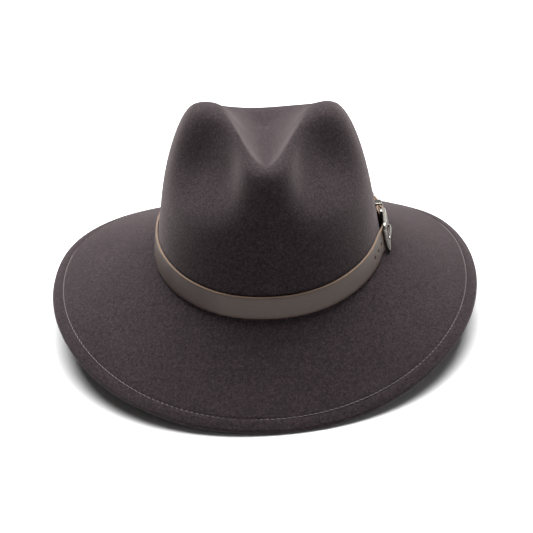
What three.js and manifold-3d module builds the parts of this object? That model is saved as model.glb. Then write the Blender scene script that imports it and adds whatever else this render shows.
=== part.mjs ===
// Wide-brimmed felt fedora with a teardrop crown, two front pinches and a buckled leather band.
// Millimetres, +Z up. The front of the hat faces -Y and the buckle is on +X.
// The hat stands on the front and back of its brim, on the plane z = 0.
import * as THREE from 'three';
import * as BufferGeometryUtils from 'three/addons/utils/BufferGeometryUtils.js';
import ManifoldModule from 'manifold-3d';

const wasm = await ManifoldModule();
wasm.setup();

// ---------------------------------------------------------------- driving sizes
const CROWN_HALF_WIDTH = 89.5;     // outside of the felt where crown and brim meet
const CROWN_HALF_LENGTH = 101.6;
const OVAL_POWER = 2.15;           // 2 is an ellipse, more is squarer
const ROCKER = 3.5;                // the join of crown and brim is lower at front and back
const FELT = 2.3;                  // felt thickness

const BRIM_WIDTH = 83.3;           // from the crown to the middle of the rolled edge
const BRIM_SKEW = 4.4;             // the brim is this much wider on -X and narrower on +X
const DROOP_ENDS = 33.5;           // degrees that the brim falls at front and back
const DROOP_SIDES = 17.7;          // degrees that it falls at the sides
const DROOP_SKEW = 2.5;            // degrees more on +X, less on -X
const FOLD_WIDTH = 9;              // felt turned under along the brim edge
const SEAM_INSET = 7.5;            // stitch line to the middle of the rolled edge
const WIRE_RADIUS = 0.8;
const WIRE_INSET = 0.6;            // wire's middle to the middle of the rolled edge
const THREAD_RADIUS = 0.35;
const GAP = 0.3;                   // between pieces that touch

const RIDGE_HEIGHT = 124.5;        // top of the crown above the join
const RIDGE_HALF_WIDTH = 46;
const RIDGE_TILT = 0.035;          // the ridge is lower on +X, in mm for each mm
const RIDGE_FRONT = -74;           // tip of the teardrop
const RIDGE_BACK = 62;
const RIDGE_TOP_AT = -4;           // where along Y the ridge is highest
const RIDGE_ROUND = 18;            // how softly the ridge turns from front slope to back slope
const RIDGE_SLOPE_FRONT = 0.30;
const RIDGE_SLOPE_BACK = 0.66;
const TIP_ROUND = 0.5;             // 0 makes the front of the teardrop a sharp point
const WALL_POWER = 2.9;            // squareness of the shoulder
const WALL_LEAN = 0.34;            // how much of the way in the wall has leaned at full height
const CREASE_FRONT = -50;          // the bottom line of the dent runs between these
const CREASE_BACK = 34;
const CREASE_HEIGHT_FRONT = 97;
const CREASE_HEIGHT_BACK = 88;
const CROWN_LEAN = 1.5;            // degrees that the hand-shaped crown leans towards +X

const PINCH_DEPTH = 25;
const PINCH_AT = new THREE.Vector3(53, -66, 112);
const PINCH_SIZE = new THREE.Vector3(30, 46, 37);
const PINCH_INWARD = new THREE.Vector2(0.6, 0.8);

const LINING = 0.6;
const LINING_GAP = 0.8;
const LINING_BOTTOM_ROW = 1;
const LINING_SEAM_ROW = 4;         // side piece and tip piece meet here
const SWEATBAND = 1.2;
const SWEATBAND_HEIGHT = 38;
const REED_RADIUS = 0.9;
const TAPE = 0.4;
const BOW_HALF_LENGTH = 10;
const BOW_HALF_HEIGHT = 7.5;
const BOW_THICK = 0.8;

const STRAP_WIDTH = 17.5;
const STRAP = 1.8;                 // leather thickness
const STRAP_SKIVED = 0.8;          // thinned where it folds round the bar
const STRAP_BOTTOM = 2.4;          // above the join
const STRAP_OFF_FELT = 0.5;
const HOLE_RADIUS = 1.9;
const HOLE_PITCH = 9.5;
const HOLE_COUNT = 6;
const HOLE_FIRST = 4.5;            // from the bar to the hole that the tongue is in
const BAR_ANGLE = 91;              // degrees round from the front to the buckle's bar
const BAR_RADIUS = 1;
const FRAME_LENGTH = 25.5;         // bar to the front of the frame
const FRAME_RAIL = 3.7;            // width of the front rail
const FRAME_SIDE = 2.8;            // width of the side rails
const FRAME_THICK = 2.6;
const FRAME_CORNER = 4;
const LUG_HALF = 2.4;              // the lugs that hold the bar reach this far either side of it
const TONGUE_WIDTH = 2.2;
const TONGUE_THICK = 1.5;
const TONGUE_EYE = 0.8;            // thickness of the tongue's ring round the bar
const KEEPER_LENGTH = 7;
const KEEPER_AT = 17;              // middle of the keeper, from the bar
const TIP_LENGTH = 17;
const TIP_WALL = 0.8;
const STRAP_END = 46;              // from the bar to the end of the leather
const LAP_START = 58;              // from the bar forwards to where the free end starts to climb
const FOLD_END = 9.9;              // from the bar to the end of the folded-back leather
const KEEPER_WALL = 1;
const KEEPER_PLAY = 0.4;           // between the keeper and the strap's edges
const RIVET_RADIUS = 1;
const RIVET_HEAD = 1.7;
const RIVET_HEAD_THICK = 0.5;
const FOLD_RIVET_AT = 8;           // from the bar
const TIP_RIVETS_AT = [37, 42];

const COLUMNS = 48;                // round the hat
const WALL_HEIGHTS = [0, 0.11, 0.3, 0.5, 0.68, 0.82, 0.92, 0.98, 1];   // parts of the way up to the ridge
const DENT_ROWS = 5;

// ---------------------------------------------------------------- sizes worked out from these
const EDGE_RADIUS = FELT + GAP / 2;                    // half the thickness of the folded edge
const BAR_OUT = STRAP_OFF_FELT + STRAP + GAP + BAR_RADIUS;
const STRAP_TOP = STRAP_BOTTOM + STRAP_WIDTH;
const STRAP_MIDDLE = STRAP_BOTTOM + STRAP_WIDTH / 2;
const RAIL_OUT = BAR_OUT + 1;                          // inner face of the frame's front rail
const RUN_OUT = STRAP_OFF_FELT + STRAP / 2;            // middle of the strap where it lies on the felt
const KEEPER_RUN_OUT = RUN_OUT + 0.9;                  // lifted to let the keeper pass behind
const FOLD_OUT = BAR_RADIUS + GAP + STRAP_SKIVED / 2;  // middle of the fold, from the bar's middle
const LAP_OUT = RUN_OUT + STRAP + GAP;                 // free end lying on the run below it
const LAP_IN_KEEPER = KEEPER_RUN_OUT + STRAP + GAP;
const LAP_UNDER_RAIL = RAIL_OUT - GAP - STRAP / 2;
const LAP_OVER_BAR = BAR_OUT + FOLD_OUT + STRAP_SKIVED / 2 + GAP + STRAP / 2;
const WINDOW_LENGTH = FRAME_LENGTH - FRAME_RAIL;       // from the bar to the front rail

// ---------------------------------------------------------------- the oval and the crown
const signedPower = (value, power) => Math.sign(value) * Math.abs(value) ** power;

// Angle 0 is the front (-Y) and a quarter turn is +X.
function ovalPoint(angle) {
  return new THREE.Vector2(
    CROWN_HALF_WIDTH * signedPower(Math.sin(angle), 2 / OVAL_POWER),
    -CROWN_HALF_LENGTH * signedPower(Math.cos(angle), 2 / OVAL_POWER),
  );
}

function ovalOutward(angle) {
  const step = 1e-3;
  const along = ovalPoint(angle + step).sub(ovalPoint(angle - step)).normalize();
  return new THREE.Vector2(along.y, -along.x);
}

const joinHeight = (angle) => -ROCKER * Math.cos(2 * angle);

// The ridge is the teardrop line round the top of the crown.
function ridgePoint(angle) {
  const middle = (RIDGE_FRONT + RIDGE_BACK) / 2;
  const halfLength = (RIDGE_BACK - RIDGE_FRONT) / 2;
  const y = middle - halfLength * Math.cos(angle);
  const x = RIDGE_HALF_WIDTH * Math.sin(angle) * Math.hypot(Math.sin(angle / 2), TIP_ROUND);
  const away = y - RIDGE_TOP_AT;
  const slope = away < 0 ? RIDGE_SLOPE_FRONT : RIDGE_SLOPE_BACK;
  const fall = slope * (Math.hypot(away, RIDGE_ROUND) - RIDGE_ROUND) + RIDGE_TILT * x;
  return new THREE.Vector3(x, y, RIDGE_HEIGHT - fall);
}

// How far out from the ridge the wall stands: all the way at 0, the join, and none at 1.
const wallShare = (up) => (1 - WALL_LEAN * up) * (1 - Math.max(up, 0) ** WALL_POWER) ** (1 / WALL_POWER);

// Outer surface of the wall: up 0 is the join with the brim, up 1 the ridge.
function wallPoint(angle, up) {
  const base = ovalPoint(angle);
  const ridge = ridgePoint(angle);
  const out = wallShare(up);
  return new THREE.Vector3(
    ridge.x + (base.x - ridge.x) * out,
    ridge.y + (base.y - ridge.y) * out,
    joinHeight(angle) + (ridge.z - joinHeight(angle)) * up,
  );
}

// Surface of the dent: reach 1 is the ridge, reach 0 the crease along the middle.
function dentPoint(angle, reach) {
  const ridge = ridgePoint(angle);
  const middle = (CREASE_FRONT + CREASE_BACK) / 2;
  const creaseY = middle - (CREASE_BACK - CREASE_FRONT) / 2 * Math.cos(angle);
  const creaseZ = THREE.MathUtils.mapLinear(
    creaseY, CREASE_FRONT, CREASE_BACK, CREASE_HEIGHT_FRONT, CREASE_HEIGHT_BACK);
  return new THREE.Vector3(
    ridge.x * reach,
    creaseY + (ridge.y - creaseY) * reach,
    creaseZ + (ridge.z - creaseZ) * THREE.MathUtils.smoothstep(reach, 0, 1),
  );
}

// The crown leans a little, more with height.
function leanOver(point) {
  const share = THREE.MathUtils.clamp(point.z / RIDGE_HEIGHT, 0, 1);
  return point.applyAxisAngle(new THREE.Vector3(0, 1, 0), THREE.MathUtils.degToRad(CROWN_LEAN) * share);
}

// The two pinches push the front corners in.
function pinchIn(point) {
  const shaped = point.clone();
  for (const side of [-1, 1]) {
    const away = new THREE.Vector3(side * PINCH_AT.x, PINCH_AT.y, PINCH_AT.z).sub(shaped).divide(PINCH_SIZE);
    const level = away.x ** 2 + away.y ** 2;
    const push = PINCH_DEPTH * Math.exp(-(level ** 1.3) - away.z ** 4);
    shaped.x -= side * PINCH_INWARD.x * push;
    shaped.y += PINCH_INWARD.y * push;
  }
  return shaped;
}

// ---------------------------------------------------------------- the brim
function brimWidth(angle) {
  return BRIM_WIDTH - BRIM_SKEW * Math.sin(angle);
}

function brimDroop(angle) {
  const mean = (DROOP_ENDS + DROOP_SIDES) / 2;
  const swing = (DROOP_ENDS - DROOP_SIDES) / 2;
  return THREE.MathUtils.degToRad(mean + swing * Math.cos(2 * angle) + DROOP_SKEW * Math.sin(angle));
}

// A point given along the brim from the join and above its top face.
function brimPoint(angle, along, above) {
  const droop = brimDroop(angle);
  const out = ovalOutward(angle).multiplyScalar(along * Math.cos(droop) + above * Math.sin(droop));
  const base = ovalPoint(angle).add(out);
  const height = joinHeight(angle) - along * Math.sin(droop) + above * Math.cos(droop);
  return new THREE.Vector3(base.x, base.y, height);
}

// Points on an arc, for sections drawn as [along, above].
function arc(centre, radius, from, to, steps) {
  const points = [];
  for (let step = 0; step <= steps; step += 1) {
    const turn = THREE.MathUtils.degToRad(THREE.MathUtils.lerp(from, to, step / steps));
    points.push([centre[0] + radius * Math.cos(turn), centre[1] + radius * Math.sin(turn)]);
  }
  return points;
}

// Section of the brim: top face, rolled edge, fold turned under with the wire's channel, underside.
function brimSection(angle) {
  const edge = brimWidth(angle);
  const middle = -EDGE_RADIUS;
  const lip = edge - FOLD_WIDTH;
  const channel = WIRE_RADIUS + GAP;
  const section = [];
  for (const part of [0.25, 0.5, 0.75]) section.push([edge * part, 0]);
  section.push([lip, 0]);
  section.push(...arc([edge, middle], EDGE_RADIUS, 90, -90, 4));
  section.push([lip, middle - EDGE_RADIUS]);
  section.push([lip, middle - GAP / 2]);
  section.push(...arc([edge - WIRE_INSET, middle], channel, 188, 532, 6));
  section.push([lip, middle + GAP / 2]);
  for (const part of [0.75, 0.5, 0.25]) section.push([edge * part, -FELT]);
  return section;
}

// ---------------------------------------------------------------- mesh helpers
function angleOf(column) {
  return column / COLUMNS * 2 * Math.PI;
}

function geometryFrom(points, triangles) {
  const geometry = new THREE.BufferGeometry();
  const numbers = points.flatMap((point) => point.toArray());
  geometry.setAttribute('position', new THREE.Float32BufferAttribute(numbers, 3));
  geometry.setIndex(triangles.flat());
  return geometry;
}

// Triangles between rows of points that go round the hat. rows is a list of index functions,
// in the order that a section is walked clockwise, with outwards on its right.
// Each four-sided patch is split along its shorter diagonal, so that nested skins stay parallel.
function skinRows(points, rows, closed) {
  const triangles = [];
  const count = closed ? rows.length : rows.length - 1;
  for (let row = 0; row < count; row += 1) {
    const here = rows[row];
    const next = rows[(row + 1) % rows.length];
    for (let column = 0; column < COLUMNS; column += 1) {
      const beside = (column + 1) % COLUMNS;
      const quad = [here(column), here(beside), next(beside), next(column)];
      const [a, b, c, d] = quad.map((index) => points[index]);
      const straight = quad[0] === quad[1] || quad[2] === quad[3] || a.distanceTo(c) <= b.distanceTo(d);
      const halves = straight ? [[0, 2, 1], [0, 3, 2]] : [[0, 3, 1], [1, 3, 2]];
      for (const half of halves) {
        const corners = half.map((corner) => quad[corner]);
        if (new Set(corners).size === 3) triangles.push(corners);
      }
    }
  }
  return triangles;
}

// A ring round the hat whose section at each angle is a closed list of points.
function ringGeometry(sectionAt) {
  const sections = Array.from({ length: COLUMNS }, (_, column) => sectionAt(angleOf(column)));
  const size = sections[0].length;
  const rows = Array.from({ length: size }, (_, row) => (column) => column * size + row);
  const points = sections.flat();
  return geometryFrom(points, skinRows(points, rows, true));
}

function brimRing(offsetFromEdge, above, radius, sides) {
  return ringGeometry((angle) => arc([brimWidth(angle) - offsetFromEdge, above], radius, 0, -360, sides)
    .slice(0, sides)
    .map(([along, height]) => brimPoint(angle, along, height)));
}

function solidOf(geometry) {
  const bare = geometry.index ? geometry.clone() : geometry.clone().toNonIndexed();
  bare.deleteAttribute('normal');
  bare.deleteAttribute('uv');
  const merged = BufferGeometryUtils.mergeVertices(bare, 1e-4);
  return new wasm.Manifold(new wasm.Mesh({
    numProp: 3,
    vertProperties: new Float32Array(merged.attributes.position.array),
    triVerts: new Uint32Array(merged.index.array),
  }));
}

function geometryOf(solid) {
  const mesh = solid.getMesh();
  const geometry = new THREE.BufferGeometry();
  geometry.setAttribute('position', new THREE.Float32BufferAttribute(mesh.vertProperties, 3));
  geometry.setIndex(Array.from(mesh.triVerts));
  return geometry;
}

const join = (...parts) => geometryOf(parts.map(solidOf).reduce((sum, part) => sum.add(part)));
const cut = (body, ...tools) => geometryOf(
  tools.map(solidOf).reduce((rest, tool) => rest.subtract(tool), solidOf(body)));

// ---------------------------------------------------------------- crown grid shared by felt and lining
// Row 0 is the join with the brim, then up the wall to the ridge and down the dent to the crease.
const WALL_ROWS = WALL_HEIGHTS.length - 1;
const CROWN_ROWS = WALL_ROWS + DENT_ROWS;

// Columns either side of the middle share one point on the crease.
function creaseColumn(column) {
  return column <= COLUMNS / 2 ? column : COLUMNS - column;
}

function crownPoint(column, row) {
  const angle = angleOf(row === CROWN_ROWS ? creaseColumn(column) : column);
  if (row <= WALL_ROWS) return leanOver(pinchIn(wallPoint(angle, WALL_HEIGHTS[row])));
  return leanOver(pinchIn(dentPoint(angle, (CROWN_ROWS - row) / DENT_ROWS)));
}

function crownIndex(row, start) {
  if (row === CROWN_ROWS) return (column) => start + row * COLUMNS + creaseColumn(column);
  return (column) => start + row * COLUMNS + column;
}

const crownPoints = [];
for (let row = 0; row <= CROWN_ROWS; row += 1) {
  for (let column = 0; column < COLUMNS; column += 1) crownPoints.push(crownPoint(column, row));
}

function crownNormals() {
  const rows = Array.from({ length: CROWN_ROWS + 1 }, (_, row) => crownIndex(CROWN_ROWS - row, 0));
  const shell = geometryFrom(crownPoints, skinRows(crownPoints, rows, false));
  shell.computeVertexNormals();
  const normals = shell.attributes.normal;
  return crownPoints.map((_, index) => new THREE.Vector3().fromBufferAttribute(normals, index));
}

const outwardNormals = crownNormals();

// The crown's surface moved inwards by a depth. At the join it stays level with its wall.
function crownInset(row, column, depth) {
  const index = crownIndex(row, 0)(column);
  const normal = outwardNormals[index].clone();
  if (row === 0) {
    const outward = ovalOutward(angleOf(column));
    normal.set(outward.x, outward.y, 0);
  }
  return crownPoints[index].clone().addScaledVector(normal, -depth);
}

// ---------------------------------------------------------------- felt pieces
function feltBody() {
  const points = [];
  const rows = [];
  const addRow = (pointAt, indexShift = (column) => column) => {
    const start = points.length;
    for (let column = 0; column < COLUMNS; column += 1) points.push(pointAt(column));
    rows.push((column) => start + indexShift(column));
  };
  for (let row = CROWN_ROWS; row >= 0; row -= 1) {
    addRow((column) => crownPoints[crownIndex(row, 0)(column)], row === CROWN_ROWS ? creaseColumn : undefined);
  }
  const sections = Array.from({ length: COLUMNS }, (_, column) => brimSection(angleOf(column)));
  for (let step = 0; step < sections[0].length; step += 1) {
    addRow((column) => brimPoint(angleOf(column), ...sections[column][step]));
  }
  addRow((column) => {
    const droop = brimDroop(angleOf(column));
    const corner = crownInset(0, column, FELT);
    corner.z -= FELT * (1 - Math.sin(droop)) / Math.cos(droop);
    return corner;
  });
  for (let row = 1; row <= CROWN_ROWS; row += 1) {
    addRow((column) => crownInset(row, column, FELT), row === CROWN_ROWS ? creaseColumn : undefined);
  }
  return geometryFrom(points, skinRows(points, rows, false));
}

function brimWire() {
  return brimRing(WIRE_INSET, -EDGE_RADIUS, WIRE_RADIUS, 6);
}

function topThread() {
  return brimRing(SEAM_INSET, GAP + THREAD_RADIUS, THREAD_RADIUS, 4);
}

function bobbinThread() {
  return brimRing(SEAM_INSET, -2 * EDGE_RADIUS - GAP - THREAD_RADIUS, THREAD_RADIUS, 4);
}

// ---------------------------------------------------------------- pieces inside the crown
const LINING_OUT = FELT + LINING_GAP;

function liningSide() {
  return ringGeometry((angle) => {
    const column = Math.round(angle / (2 * Math.PI) * COLUMNS);
    const section = [];
    for (let row = LINING_BOTTOM_ROW; row <= LINING_SEAM_ROW; row += 1) {
      section.push(crownInset(row, column, LINING_OUT + LINING));
    }
    for (let row = LINING_SEAM_ROW; row >= LINING_BOTTOM_ROW; row -= 1) {
      section.push(crownInset(row, column, LINING_OUT));
    }
    return section;
  });
}

// A sheet closed at the crease, hanging from just above the side piece's top edge.
function liningTip() {
  const points = [];
  const rows = [];
  const addRow = (pointAt, crease) => {
    const start = points.length;
    for (let column = 0; column < COLUMNS; column += 1) points.push(pointAt(column));
    rows.push((column) => start + (crease ? creaseColumn(column) : column));
  };
  const seamEdge = (column, depth) => {
    const low = crownInset(LINING_SEAM_ROW, column, depth);
    const high = crownInset(LINING_SEAM_ROW + 1, column, depth);
    return low.lerp(high, GAP * 2 / low.distanceTo(high));
  };
  for (let row = CROWN_ROWS; row > LINING_SEAM_ROW; row -= 1) {
    addRow((column) => crownInset(row, column, LINING_OUT), row === CROWN_ROWS);
  }
  addRow((column) => seamEdge(column, LINING_OUT), false);
  addRow((column) => seamEdge(column, LINING_OUT + LINING), false);
  for (let row = LINING_SEAM_ROW + 1; row <= CROWN_ROWS; row += 1) {
    addRow((column) => crownInset(row, column, LINING_OUT + LINING), row === CROWN_ROWS);
  }
  return geometryFrom(points, skinRows(points, rows, false));
}

// How far the wall leans in for each millimetre of height, near the join.
// How far the wall has leaned in at a height above the join.
function wallLeanIn(angle, up) {
  const base = ovalPoint(angle);
  const ridge = ridgePoint(angle);
  const across = base.clone().sub(new THREE.Vector2(ridge.x, ridge.y)).dot(ovalOutward(angle));
  return across * (1 - wallShare(up / (ridge.z - joinHeight(angle))));
}

// A point by the crown's lower wall: off it outwards, and up from the join.
function wallFramePoint(angle, off, up) {
  const out = ovalOutward(angle).multiplyScalar(off - wallLeanIn(angle, up));
  const base = ovalPoint(angle).add(out);
  return leanOver(new THREE.Vector3(base.x, base.y, joinHeight(angle) + up));
}

function wallRing(outline) {
  return ringGeometry((angle) => outline.map(([off, up]) => wallFramePoint(angle, off, up)));
}

const SWEATBAND_OFF = -(LINING_OUT + LINING + LINING_GAP);
const REED_OFF = SWEATBAND_OFF - SWEATBAND / 2;
const REED_UP = -1.2;

function sweatband() {
  const bottom = REED_UP + REED_RADIUS + GAP + TAPE;
  const inner = SWEATBAND_OFF - SWEATBAND;
  return wallRing([
    [SWEATBAND_OFF, bottom],
    [inner, bottom],
    [inner, SWEATBAND_HEIGHT / 2],
    [inner, SWEATBAND_HEIGHT],
    [SWEATBAND_OFF, SWEATBAND_HEIGHT],
    [SWEATBAND_OFF, SWEATBAND_HEIGHT / 2],
  ]);
}

function sweatbandReed() {
  return wallRing(arc([REED_OFF, REED_UP], REED_RADIUS, 0, -360, 6).slice(0, 6));
}

// Tape folded up round the reed, open at the top.
function reedTape() {
  const inner = REED_RADIUS + GAP;
  const outer = inner + TAPE;
  const cup = [...arc([REED_OFF, REED_UP], outer, 20, -200, 4), ...arc([REED_OFF, REED_UP], inner, -200, 20, 4)];
  return wallRing(cup);
}

// Flat ribbon bow over the seam at the back of the sweatband, turned to lie on it.
function sweatbandBow() {
  const knot = BOW_HALF_HEIGHT / 3;
  const bow = new THREE.Shape();
  bow.moveTo(0, knot);
  for (const side of [1, -1]) {
    const end = side * BOW_HALF_LENGTH;
    bow.quadraticCurveTo(end * 0.9, side * BOW_HALF_HEIGHT, end, side * BOW_HALF_HEIGHT / 2);
    bow.quadraticCurveTo(end * 1.1, 0, end, -side * BOW_HALF_HEIGHT / 2);
    bow.quadraticCurveTo(end * 0.9, -side * BOW_HALF_HEIGHT, 0, -side * knot);
  }
  const geometry = new THREE.ExtrudeGeometry(bow, { depth: BOW_THICK, bevelEnabled: false, curveSegments: 3 });
  geometry.rotateX(Math.PI / 2);
  geometry.rotateX(Math.atan(wallLeanIn(Math.PI, SWEATBAND_HEIGHT) / SWEATBAND_HEIGHT));
  const at = wallFramePoint(Math.PI, SWEATBAND_OFF - SWEATBAND - BOW_THICK - GAP, SWEATBAND_HEIGHT / 2);
  geometry.translate(at.x, at.y, at.z);
  return geometry;
}

// ---------------------------------------------------------------- bending pieces round the crown
// Flat pieces are drawn as (x = along the band from the bar, y = off the felt, z = up from the join).
const bandTable = [];
{
  const steps = 1440;
  let length = 0;
  let before = ovalPoint(THREE.MathUtils.degToRad(BAR_ANGLE));
  for (let step = 0; step <= steps; step += 1) {
    const angle = THREE.MathUtils.degToRad(BAR_ANGLE + 360 * step / steps);
    const here = ovalPoint(angle);
    length += here.distanceTo(before);
    before = here;
    bandTable.push({ angle, length });
  }
}
const BAND_LENGTH = bandTable[bandTable.length - 1].length;

function bandAngle(along) {
  const wanted = THREE.MathUtils.euclideanModulo(along, BAND_LENGTH);
  const next = Math.max(1, bandTable.findIndex((entry) => entry.length >= wanted));
  const low = bandTable[next - 1];
  const high = bandTable[next];
  return THREE.MathUtils.mapLinear(wanted, low.length, high.length, low.angle, high.angle);
}

function bendRoundCrown(geometry) {
  const indexed = geometry.index ? geometry : BufferGeometryUtils.mergeVertices(geometry);
  const position = indexed.attributes.position;
  for (let index = 0; index < position.count; index += 1) {
    const flat = new THREE.Vector3().fromBufferAttribute(position, index);
    const bent = wallFramePoint(bandAngle(flat.x), flat.y, flat.z);
    position.setXYZ(index, bent.x, bent.y, bent.z);
  }
  const corners = indexed.index.array;
  for (let corner = 0; corner < corners.length; corner += 3) {
    [corners[corner + 1], corners[corner + 2]] = [corners[corner + 2], corners[corner + 1]];
  }
  return indexed;
}

// A strip with a rectangular section along stations [along, off, thickness].
function strip(stations, bottom, top) {
  const points = [];
  const triangles = [];
  stations.forEach(([along, off, thickness], index) => {
    const before = stations[Math.max(index - 1, 0)];
    const after = stations[Math.min(index + 1, stations.length - 1)];
    const heading = new THREE.Vector2(after[0] - before[0], after[1] - before[1]).normalize();
    const side = new THREE.Vector2(-heading.y, heading.x).multiplyScalar(thickness / 2);
    points.push(new THREE.Vector3(along - side.x, off - side.y, bottom));
    points.push(new THREE.Vector3(along + side.x, off + side.y, bottom));
    points.push(new THREE.Vector3(along + side.x, off + side.y, top));
    points.push(new THREE.Vector3(along - side.x, off - side.y, top));
    if (index === 0) return;
    const far = index * 4;
    const near = far - 4;
    for (let edge = 0; edge < 4; edge += 1) {
      const beside = (edge + 1) % 4;
      triangles.push([near + edge, far + edge, far + beside]);
      triangles.push([near + edge, far + beside, near + beside]);
    }
  });
  const last = points.length - 4;
  triangles.push([0, 1, 2], [0, 2, 3]);
  triangles.push([last, last + 2, last + 1], [last, last + 3, last + 2]);
  return geometryFrom(points, triangles.map(([a, b, c]) => [a, c, b]));
}

function block(from, to) {
  const size = to.map((value, axis) => value - from[axis]);
  const geometry = new THREE.BoxGeometry(...size);
  geometry.translate(...from.map((value, axis) => value + size[axis] / 2));
  return BufferGeometryUtils.mergeVertices(stripAttributes(geometry));
}

function stripAttributes(geometry) {
  geometry.deleteAttribute('normal');
  geometry.deleteAttribute('uv');
  return geometry;
}

// A round pin or hole tool through the band's thickness.
function crosswisePin(along, up, radius, from, to, sides = 10) {
  const geometry = new THREE.CylinderGeometry(radius, radius, to - from, sides);
  geometry.translate(along, (from + to) / 2, up);
  return BufferGeometryUtils.mergeVertices(stripAttributes(geometry));
}

// A round pin or hole tool standing up across the band's width.
function uprightPin(along, off, radius, bottom, top, sides = 12) {
  const geometry = new THREE.CylinderGeometry(radius, radius, top - bottom, sides);
  geometry.rotateX(Math.PI / 2);
  geometry.translate(along, off, (bottom + top) / 2);
  return BufferGeometryUtils.mergeVertices(stripAttributes(geometry));
}

// ---------------------------------------------------------------- the leather band
// How far out the middle of the free end lies, as it climbs over the bar and comes down again.
const climb = (share) => THREE.MathUtils.lerp(LAP_UNDER_RAIL, LAP_OVER_BAR, share);
const descend = (share) => THREE.MathUtils.lerp(LAP_IN_KEEPER, LAP_OVER_BAR, share);
const LAP_PATH = [
  [-WINDOW_LENGTH - 24, RUN_OUT], [-WINDOW_LENGTH - 14, RUN_OUT + 0.2], [-WINDOW_LENGTH - 8, RUN_OUT + 0.8],
  [-WINDOW_LENGTH - 1, LAP_UNDER_RAIL - 0.05], [-WINDOW_LENGTH * 0.69, climb(0.44)],
  [-WINDOW_LENGTH * 0.37, climb(0.8)], [-2, LAP_OVER_BAR], [3, LAP_OVER_BAR - 0.05],
  [8, descend(0.64)], [12, LAP_IN_KEEPER + 0.2], [15, LAP_IN_KEEPER],
  [21, LAP_IN_KEEPER], [28, LAP_IN_KEEPER], [34, LAP_OUT], [STRAP_END, LAP_OUT],
];

function strapStations() {
  const stations = [];
  for (const [along, off] of [[FOLD_END, 0], [7, 0.1], [4.2, 0.9]]) {
    stations.push([along, RUN_OUT + STRAP / 2 + GAP + STRAP_SKIVED / 2 + off, STRAP_SKIVED]);
  }
  for (const [along, off] of arc([0, BAR_OUT], FOLD_OUT, 75, 255, 8)) stations.push([along, off, STRAP_SKIVED]);
  const flush = RUN_OUT + STRAP / 2;
  stations.push([1.5, flush - STRAP_SKIVED / 2, STRAP_SKIVED]);
  stations.push([7, RUN_OUT, STRAP], [10, RUN_OUT + 0.2, STRAP]);
  stations.push([12.5, KEEPER_RUN_OUT, STRAP], [18, KEEPER_RUN_OUT, STRAP]);
  stations.push([27, KEEPER_RUN_OUT, STRAP], [33, RUN_OUT, STRAP]);
  const runEnd = BAND_LENGTH - LAP_START;
  const runSteps = 40;
  for (let step = 1; step <= runSteps; step += 1) {
    stations.push([THREE.MathUtils.lerp(33, runEnd, step / runSteps), RUN_OUT, STRAP]);
  }
  for (const [along, off] of LAP_PATH) stations.push([BAND_LENGTH + along, off, STRAP]);
  return stations;
}

function hatbandStrap() {
  const strap = bendRoundCrown(strip(strapStations(), STRAP_BOTTOM, STRAP_TOP));
  const tools = [];
  for (let hole = 0; hole < HOLE_COUNT; hole += 1) {
    const along = -HOLE_FIRST - hole * HOLE_PITCH;
    const under = hole === 0 ? BAR_OUT + 0.8 : 0;
    tools.push(crosswisePin(along, STRAP_MIDDLE, HOLE_RADIUS, under, 12));
  }
  const slot = TONGUE_WIDTH / 2 + GAP;
  tools.push(block([-3.2, 0, STRAP_MIDDLE - slot], [3.4, BAR_OUT + FOLD_OUT + 0.55, STRAP_MIDDLE + slot]));
  tools.push(crosswisePin(FOLD_RIVET_AT, STRAP_MIDDLE, RIVET_RADIUS + GAP, 0, BAR_OUT + 0.4));
  for (const along of TIP_RIVETS_AT) {
    tools.push(crosswisePin(along, STRAP_MIDDLE, RIVET_RADIUS + GAP, LAP_OUT - STRAP / 2 - GAP / 2, 8));
  }
  return cut(strap, ...tools.map(bendRoundCrown));
}

// ---------------------------------------------------------------- buckle, keeper, tip and rivets
// Front rail and side rails in one rounded plate, lugs down to the bar, and the bar itself.
function buckleFrame() {
  const bottom = STRAP_BOTTOM - GAP - FRAME_SIDE;
  const top = STRAP_TOP + GAP + FRAME_SIDE;
  const plate = new THREE.Shape();
  plate.moveTo(LUG_HALF, bottom);
  plate.lineTo(LUG_HALF, bottom + FRAME_SIDE);
  plate.lineTo(-WINDOW_LENGTH, bottom + FRAME_SIDE);
  plate.lineTo(-WINDOW_LENGTH, top - FRAME_SIDE);
  plate.lineTo(LUG_HALF, top - FRAME_SIDE);
  plate.lineTo(LUG_HALF, top);
  plate.lineTo(-FRAME_LENGTH + FRAME_CORNER, top);
  plate.absarc(-FRAME_LENGTH + FRAME_CORNER, top - FRAME_CORNER, FRAME_CORNER, Math.PI / 2, Math.PI, false);
  plate.absarc(-FRAME_LENGTH + FRAME_CORNER, bottom + FRAME_CORNER, FRAME_CORNER, Math.PI, Math.PI * 1.5, false);
  plate.lineTo(LUG_HALF, bottom);
  const rails = new THREE.ExtrudeGeometry(plate, { depth: FRAME_THICK, bevelEnabled: false, curveSegments: 4 });
  rails.rotateX(Math.PI / 2);
  rails.translate(0, RAIL_OUT + FRAME_THICK, 0);
  const flat = BufferGeometryUtils.mergeVertices(stripAttributes(rails));
  const lugs = [bottom, top - FRAME_SIDE].map((low) => block(
    [-LUG_HALF, BAR_OUT - BAR_RADIUS, low + 0.01], [LUG_HALF - 0.01, RAIL_OUT + 0.5, low + FRAME_SIDE - 0.01]));
  const bar = uprightPin(0, BAR_OUT, BAR_RADIUS, bottom + 0.5, top - 0.5);
  return join(...[flat, ...lugs, bar].map(bendRoundCrown));
}

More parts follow.
